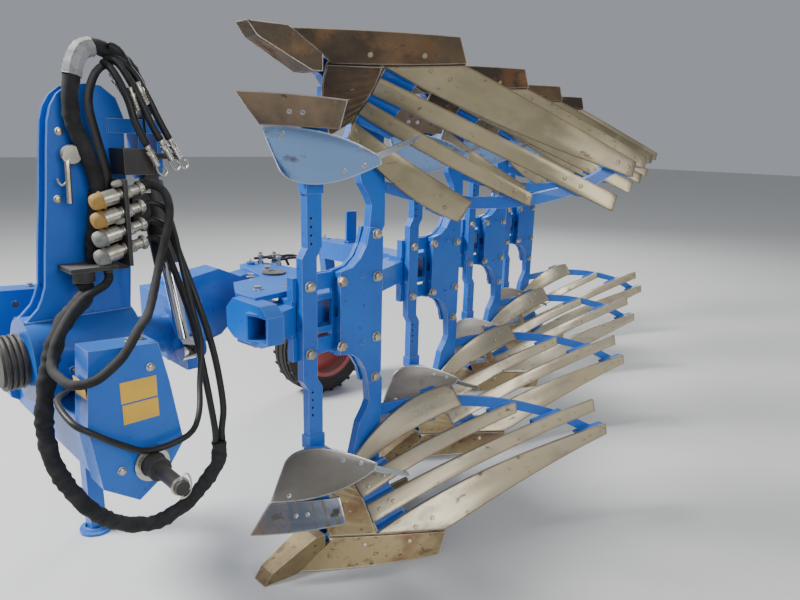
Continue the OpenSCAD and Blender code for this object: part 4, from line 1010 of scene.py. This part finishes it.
end(joined(blank_plate((799, 240.1, 921), (890, 241.3, 976)),
           blank_plate((798, 240.1, 866), (888, 241.3, 917))),
    "yellow_side_plates", "headstock", "blue_paint", "yellow_plate")
end(blank_plate((964.6, 165, 915), (966.4, 235, 995), 5.1), "yellow_front_plate", "headstock",
    "blue_paint", "yellow_plate")
end(block((850, 60, 825.4), (925, 150, 828), bevel=0.8), "bare_top_plate", "headstock",
    "dark_steel")

# %% [markdown]
# ## Couplers, caps and fittings
# Four quick couplers stand in the rack. A coupler is turned from bar: a knurled sleeve that
# slides back, a shoulder, and a nose with a rubber dust cap. The caps tell the circuits
# apart: two are yellow and two are grey. All are spun round the coupler's own axis.

# %% Coupler sleeves, collars and caps
COUPLER_AXIS = (-math.sin(TILT), 0, math.cos(TILT))


def coupler_spots(numbers, *reaches):
    return [(place(*coupler_end(k, reach - COUPLER_LENGTH)), COUPLER_AXIS, 0)
            for k in numbers for reach in reaches]


sleeve = turned_part([(15.3, 0), (18, 0)] + [
    (18.6 if i % 2 else 17.6, 2 + 2.6 * i) for i in range(11)] + [(18, 31), (15.3, 32)], steps=24)
collar = turned_part([(15.3, 0), (19.5, 0), (21, 2), (21, 9), (19.5, 11), (15.3, 11)], steps=24)
spread("coupler_sleeves", sleeve, coupler_spots(range(4), 62), "headstock", "zinc")
spread("coupler_collars", collar, coupler_spots(range(4), 40, 114), "headstock", "zinc")
cap = turned_part([(0, -18), (12, -18), (17, -16), (21, -10), (22.5, -2), (22.5, 9), (25, 10),
                   (25, 13), (22, 14), (21.2, 14), (21.2, 1), (0, 1)], steps=28)
for name, numbers, finish in (("yellow_dust_caps", (0, 1), "yellow_rubber"),
                              ("grey_dust_caps", (2, 3), "grey_rubber")):
    spots = [(where, way, k) for k, (where, way, _) in zip(numbers, coupler_spots(numbers, 0))]
    spread(name, cap, spots, "headstock", "zinc", finish)
lid = turned_part([(0, 0), (15, 0), (17, 2), (17.5, 8), (14, 12), (0, 13.5)], steps=24)
spread("lifted_lids", lid, [(place(742, -46, 1424 - 50 * k), (0.35, 0.1, 1), 0) for k in (0, 2)],
       "headstock", "zinc", "grey_rubber")
put_away(sleeve, collar, cap, lid)

# %% Socket box behind the rack, with its lid and its light clip
end(joined(block((640, LEFT_PLATE + 0.5, 1300), (689, -92, 1392), bevel=5),
           block((634, LEFT_PLATE + 6, 1330), (642, -98, 1384), bevel=2),
           block((652, LEFT_PLATE + 6, 1392), (680, -104, 1400), bevel=2)),
    "socket_box", "headstock", "black_paint")
end(joined(block((626, LEFT_PLATE + 4, 1400), (692, -110, 1407), bevel=1.5),
           block((626, -112, 1394), (692, -108, 1407), bevel=1)),
    "light_clip", "headstock", "zinc")

# %% Parked hose ends: a hexagon, a ribbed tail and a bright nose, with hooks below
hose_end = turned_part([(0, 0), (7, 0), (8, 2), (8, 10), (6.5, 11), (6.5, 16), (11, 17), (11, 27),
                        (8, 28)] + [(9.5 if i % 2 else 8, 30 + 4 * i) for i in range(8)]
                       + [(8, 62), (0, 63)], steps=16)
# Each parked hose leaves the bundle's bend and ends in a fitting that hangs in a hook.
PARKED = [
    [(722, -122, 1752), (700, -96, 1744), (686, -66, 1706), (668, -44, 1650), (646, -36, 1592),
     (622, -34, 1545)],
    [(712, -126, 1756), (690, -106, 1752), (664, -76, 1716), (640, -58, 1660), (616, -50, 1600),
     (590, -48, 1548)],
    [(730, -118, 1742), (722, -88, 1728), (712, -58, 1690), (700, -38, 1640), (690, -32, 1590),
     (664, -28, 1530)]]
for number, route in enumerate(PARKED, 1):
    before, last = place(*route[-2]), place(*route[-1])
    fitting = spread(f"parked_fitting_{number}", hose_end, [(last, last - before, number - 1)],
                     "headstock", "zinc")
    piece, line, length = hose(f"parked_hose_{number}", route, 0.010, "hose_rubber")
    piece.data.materials.append(finishes["hose_rubber"])
# Spare fittings are strapped to the bundle above them, as (low end, high end).
SPARES = [((700, -70, 1668), (724, -82, 1716)), ((676, -46, 1628), (690, -52, 1680)),
          ((650, -44, 1640), (668, -56, 1694))]
spread("spare_fittings", hose_end, [(place(*high), place(*low) - place(*high), k)
                                    for k, (low, high) in enumerate(SPARES)],
       "headstock", "zinc")
hooks = [bent_rod([(x - 22, y, z - 58), (x - 30, y, z - 76), (x - 46, y, z - 82),
                   (x - 54, y, z - 68), (x - 44, y, z - 58)], 3.2)
         for x, y, z in (route[-1] for route in PARKED)]
end(joined(*hooks), "fitting_hooks", "headstock", "zinc")
put_away(hose_end)

# %% A grey wrap on the bundle's bend, the flat strap beside it, and a thin cable
wrap = bent_rod([(752, -132, 1781), (780, -128, 1770), (801, -122, 1738), (811, -120, 1704)],
                26.5, parts=6, ripple=0.06)
end(wrap, "grey_hose_wrap", "headstock", "sleeve_cloth", "grey_wrap")
strap = bent_rod([(716, -112, 1748), (752, -108, 1716), (772, -108, 1640), (760, -106, 1540),
                  (746, -104, 1450), (750, -106, 1400)], 9)
strap.data.transform(about(place(750, -110, 1500), Matrix.Diagonal((1.3, 0.35, 1, 1))))
end(strap, "flat_hose_strap", "headstock", "hose_rubber")
end(bent_rod([(700, -140, 1772), (720, -95, 1790), (690, -80, 1772), (660, -76, 1700),
              (648, -74, 1600), (648, -76, 1521)], 4), "thin_cable", "headstock", "hose_rubber")

# %% [markdown]
# ## Rotary union
# The oil reaches the turning frame through a union at the front of the turnover shaft. Its
# front face is a machined grey disc with a ring of screws, and bands go round its body. The
# disc is lathe work, and each band is a rod bent into a ring: grooves would need a new body.

# %% The union's face, its screws and its bands
face = turned_part([(0, 0.4), (26, 0.4), (28, -1), (50, -1), (52, 0.2), (60, 0.2), (61.5, -1.2),
                    (61.5, -5)], place(1049, AXIS_Y, AXIS_HEIGHT), (1, 0, 0), 48)
end(face, "union_face", "headstock", "black_paint", "zinc")
screw = turned_part([(0, 0), (2.6, 0), (2.8, 0.9), (4.6, 0.9), (5, 0.5), (5, -2)], steps=12)


def round_axis(x, radius, count, whole):
    """The first places of the whole number that go round the turnover axis."""
    return [(x, AXIS_Y + radius * math.cos(a), AXIS_HEIGHT + radius * math.sin(a))
            for a in (2 * math.pi * k / whole for k in range(count))]


spread("union_screws", screw, [(place(*spot), (1, 0, 0), 0)
                               for spot in round_axis(1048.3, 39, 8, 8)], "headstock", "zinc")
put_away(screw)
bands = [bent_rod(round_axis(x, 76.2, 37, 36), 1.6, parts=1) for x in range(997, 1040, 14)]
end(joined(*bands), "union_bands", "headstock", "black_paint")

# %% [markdown]
# ## Weld beads
# Thick plates meet in fillet welds. A bead is a round bar along the joint with a small ripple
# at each step of the welder's hand, painted over with the rest. A bump in the paint could
# suggest it, but a real bead catches light and shade from every side.

# %% Beads of the headstock and of the turning frame
HEAD_BEADS = [[(x, AXIS_Y - reach, z), (x, AXIS_Y + reach, z)]
              for x, reach, z in ((790, 300, 825), (927, 330, 823))]
HEAD_BEADS += [[(x, AXIS_Y + 347, 690), (x, AXIS_Y + 347, 824)] for x in (927, 791)]
HEAD_BEADS += [[(x, AXIS_Y + side * 40, AXIS_HEIGHT + 111.5) for x in (985, 860, 698)]
               for side in (-1, 1)]
RIPPLE_STEP = 6


def beads(name, routes, body, radius):
    rods = []
    for route in routes:
        ends = [Vector(p) for p in route]
        line = []
        for a, b in zip(ends, ends[1:]):
            count = max(2, int((b - a).length / RIPPLE_STEP))
            line += [tuple(a.lerp(b, k / count)) for k in range(count)]
        rods.append(bent_rod(line + [tuple(ends[-1])], radius, parts=1, ripple=0.22))
    return end(joined(*rods), name, body, "blue_paint")


beads("headstock_welds", HEAD_BEADS, "headstock", 4.2)
FRAME_BEADS = []
for number, upper in sides:
    dx, dy = (step * (number - 1) for step in STATION_STEP)
    for z, seam in ((872, ((-190, -52), (90, -52))), (793, ((93, -67), (-15, -67)))):
        FRAME_BEADS.append([(dx + x, dy + y, mirrored(z, upper)) for x, y in seam])
FRAME_BEADS.append([(490, -300, 1071), (470, -420, 1071)])
beads("frame_welds", FRAME_BEADS, "frame", 4)

# %% [markdown]
# ## Stand
# The stand's leg is a square tube with a row of holes for its height and a spring pin. The holes
# are drawn as black discs with thin rims, painted shade for the dark inside of each hole, because
# the tube itself stays the solid one.

# %% The stand's holes as painted shade, its spring pin and its foot's weld
LEG_X, LEG_Y = 664, -748
# Black discs for the holes: painted shade of each hole's dark inside.
hole = turned_part([(0, -0.6), (7, -0.6), (7.6, 0.5), (9, 0.5), (9.4, 0)], steps=16)
spots = [(place(LEG_X + side * 30, LEG_Y, z), (side, 0, 0), 0)
         for side in (-1, 1) for z in range(180, 640, 60)]
spread("stand_hole_shades", hole, spots, "stand", "black_paint")
put_away(hole)
end(joined(bent_rod([(700, LEG_Y, 660), (628, LEG_Y, 660)], 6),
           bent_rod([(702, LEG_Y, 668), (702, -740, 650), (702, -725, 640), (702, -738, 628),
                     (702, -750, 640), (702, LEG_Y, 662)], 2.4)),
    "stand_spring_pin", "stand", "zinc")
end(turned_part([(44, 11.6), (50, 11.6), (48, 17), (42, 23), (42, 11.6), (44, 11.6)],
                place(LEG_X, LEG_Y, 0), (0, 0, 1), 40), "stand_foot_weld", "stand", "blue_paint")

# %% [markdown]
# ## Depth wheel
# The wheel carries a ribbed farm tyre on a red rim. The tyre's section has rounded shoulders,
# a bead that clasps the rim, and ribs round its tread; shoulder blocks repeat round it. The
# spun tyre replaces the plain solid, and stays inside its size.

# %% The tyre's section spun round its axle
WHEEL = (-954, -1351, 310)
half = [(191, -80), (196, -84), (206, -86), (212, -92), (232, -94.6), (258, -95), (276, -91),
        (290, -83), (299, -74), (302, -70), (302, -58), (296, -56), (296, -50), (309, -48),
        (309.6, -30), (297, -27), (297, -21), (309.8, -18), (309.8, 0)]
section = half + [(r, -a) for r, a in reversed(half[:-1])] + [(189, 60), (189, -60), (191, -80)]
hub = place(*WHEEL)
tyre = turned_part(section, hub, (0, 1, 0), 44)
LUGS = 26
lug = block((WHEEL[0] - 9, WHEEL[1] - 84, 608), (WHEEL[0] + 9, WHEEL[1] - 58, 616.5),
            bevel=1.2, rounds=1)
lugs = []
for k in range(LUGS):
    for side in (-1, 1):
        turned = Matrix.Rotation(2 * math.pi * (k + 0.25 * side) / LUGS, 4, "Y")
        lugs.append(copy_of(lug, about(hub, turned @ Matrix.Diagonal((1, -side, 1, 1)))))
        if side == 1:         # the mirrored copy came out inside out
            lugs[-1].data.flip_normals()
put_away(lug)
tyre = end(joined(tyre, *lugs), "ribbed_tyre", "wheel", "tyre_rubber")
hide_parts("wheel_tyre")
print("tyre triangles", sum(len(p.vertices) - 2 for p in tyre.data.polygons))

# %% Rim: flange rings, wheel bolts, hub cap and valve
FLANGE = [(188, 80), (199, 81), (203, 84), (203, 87), (198, 88), (186, 85), (180, 80), (188, 80)]
flanges = [turned_part([(r, side * a) for r, a in FLANGE], hub, (0, 1, 0), 48)
           for side in (1, -1)]
end(joined(*flanges), "rim_flanges", "wheel", "red_paint")
end(turned_part([(52, 50), (52, 62), (49, 70), (38, 74), (0, 76)], hub, (0, -1, 0), 32),
    "hub_cap", "wheel", "zinc")
NUT_CIRCLE = 90
wheel_nut = hexagon(12, 11, 15, 2, 4)
turns = [math.pi * k / 3 for k in range(6)]
spread("wheel_nuts", wheel_nut, [
    (place(WHEEL[0] + NUT_CIRCLE * math.cos(a), WHEEL[1] - 0.2,
           WHEEL[2] + NUT_CIRCLE * math.sin(a)), (0, -1, 0), a) for a in turns], "wheel", "zinc")
put_away(wheel_nut)
VALVE = [(168, -2, 0), (168, -20, 0), (160, -42, 0)]       # from the hub
end(bent_rod([[h + v for h, v in zip(WHEEL, spot)] for spot in VALVE], 4), "valve", "wheel",
    "black_paint")

# %% [markdown]
# ## Swing arm's end and the frame's small parts
# Hoses for the frame's own cylinders end at the swing arm's pin. Grease nipples sit at each
# pin. The depth wheel's stop is a flat post on its bracket. All of them are lathe work, bent
# rod or blocks again, so the helpers above are enough.

# %% Black pivot disc, painted shade under the arm's end, and fittings with their short pipes
LUG_FACE = AXIS_HEIGHT + LUG_TOP
# The pivot disc's black stands for the shade in the recess under the arm's end: painted shade.
end(turned_part([(0, 0), (44, 0), (46, 2), (46, 7), (43, 9), (22, 9), (20, 6), (0, 6)],
                place(22, -395, LUG_FACE), (0, 0, 1), 40), "pivot_shade_disc", "frame", "black_paint")
fitting = turned_part([(0, 0), (13, 0), (13, 14), (9, 15), (9, 26), (12, 27), (12, 40), (8, 42),
                       (8, 50), (0, 52)], steps=16)
PORTS = [(-48, -600), (-100, -575), (-85, -520)]
spread("arm_end_fittings", fitting, [(place(x, y, LUG_FACE), (0, 0, 1), 0) for x, y in PORTS],
       "frame", "zinc")
put_away(fitting)
pipes = [bent_rod([(x + 26, y - 8, 1056), (x - 20, y + 8, 1058), (x - 60, y + 20, 1062),
                   (x - 110, y + 14, 1050), (x - 140, y + 4, 1010)], 6) for x, y in PORTS]
end(joined(*pipes), "arm_end_pipes", "frame", "hose_rubber")

# %% The wheel's stop post and the grease nipples
end(joined(block((-928, -1007, 990), (-856, -993, 1168), bevel=3),
           block((-928, -1018, 990), (-856, -982, 1004), bevel=3)),
    "wheel_stop_post", "frame", "blue_paint")
nipple = turned_part([(0, 14), (2.5, 14), (3, 12), (2, 10.5), (3.6, 8), (3.6, 6), (5.5, 5.5),
                      (5.5, 0)], steps=10)
NIPPLES = [
    ("headstock_nipples", "headstock", [(760, AXIS_Y, 1061), (930, AXIS_Y, 1061)], [0, 0]),
    ("frame_nipples", "frame", [(0, -180, 1053.3), (-5, -610, 1043.3), (-870, -1205, 1002)],
     [0, 0, 0.1])]
for name, body, places, leans in NIPPLES:
    spread(name, nipple, [(place(*where), (lean, 0, 1), 0)
                          for where, lean in zip(places, leans)], body, "zinc")
put_away(nipple)
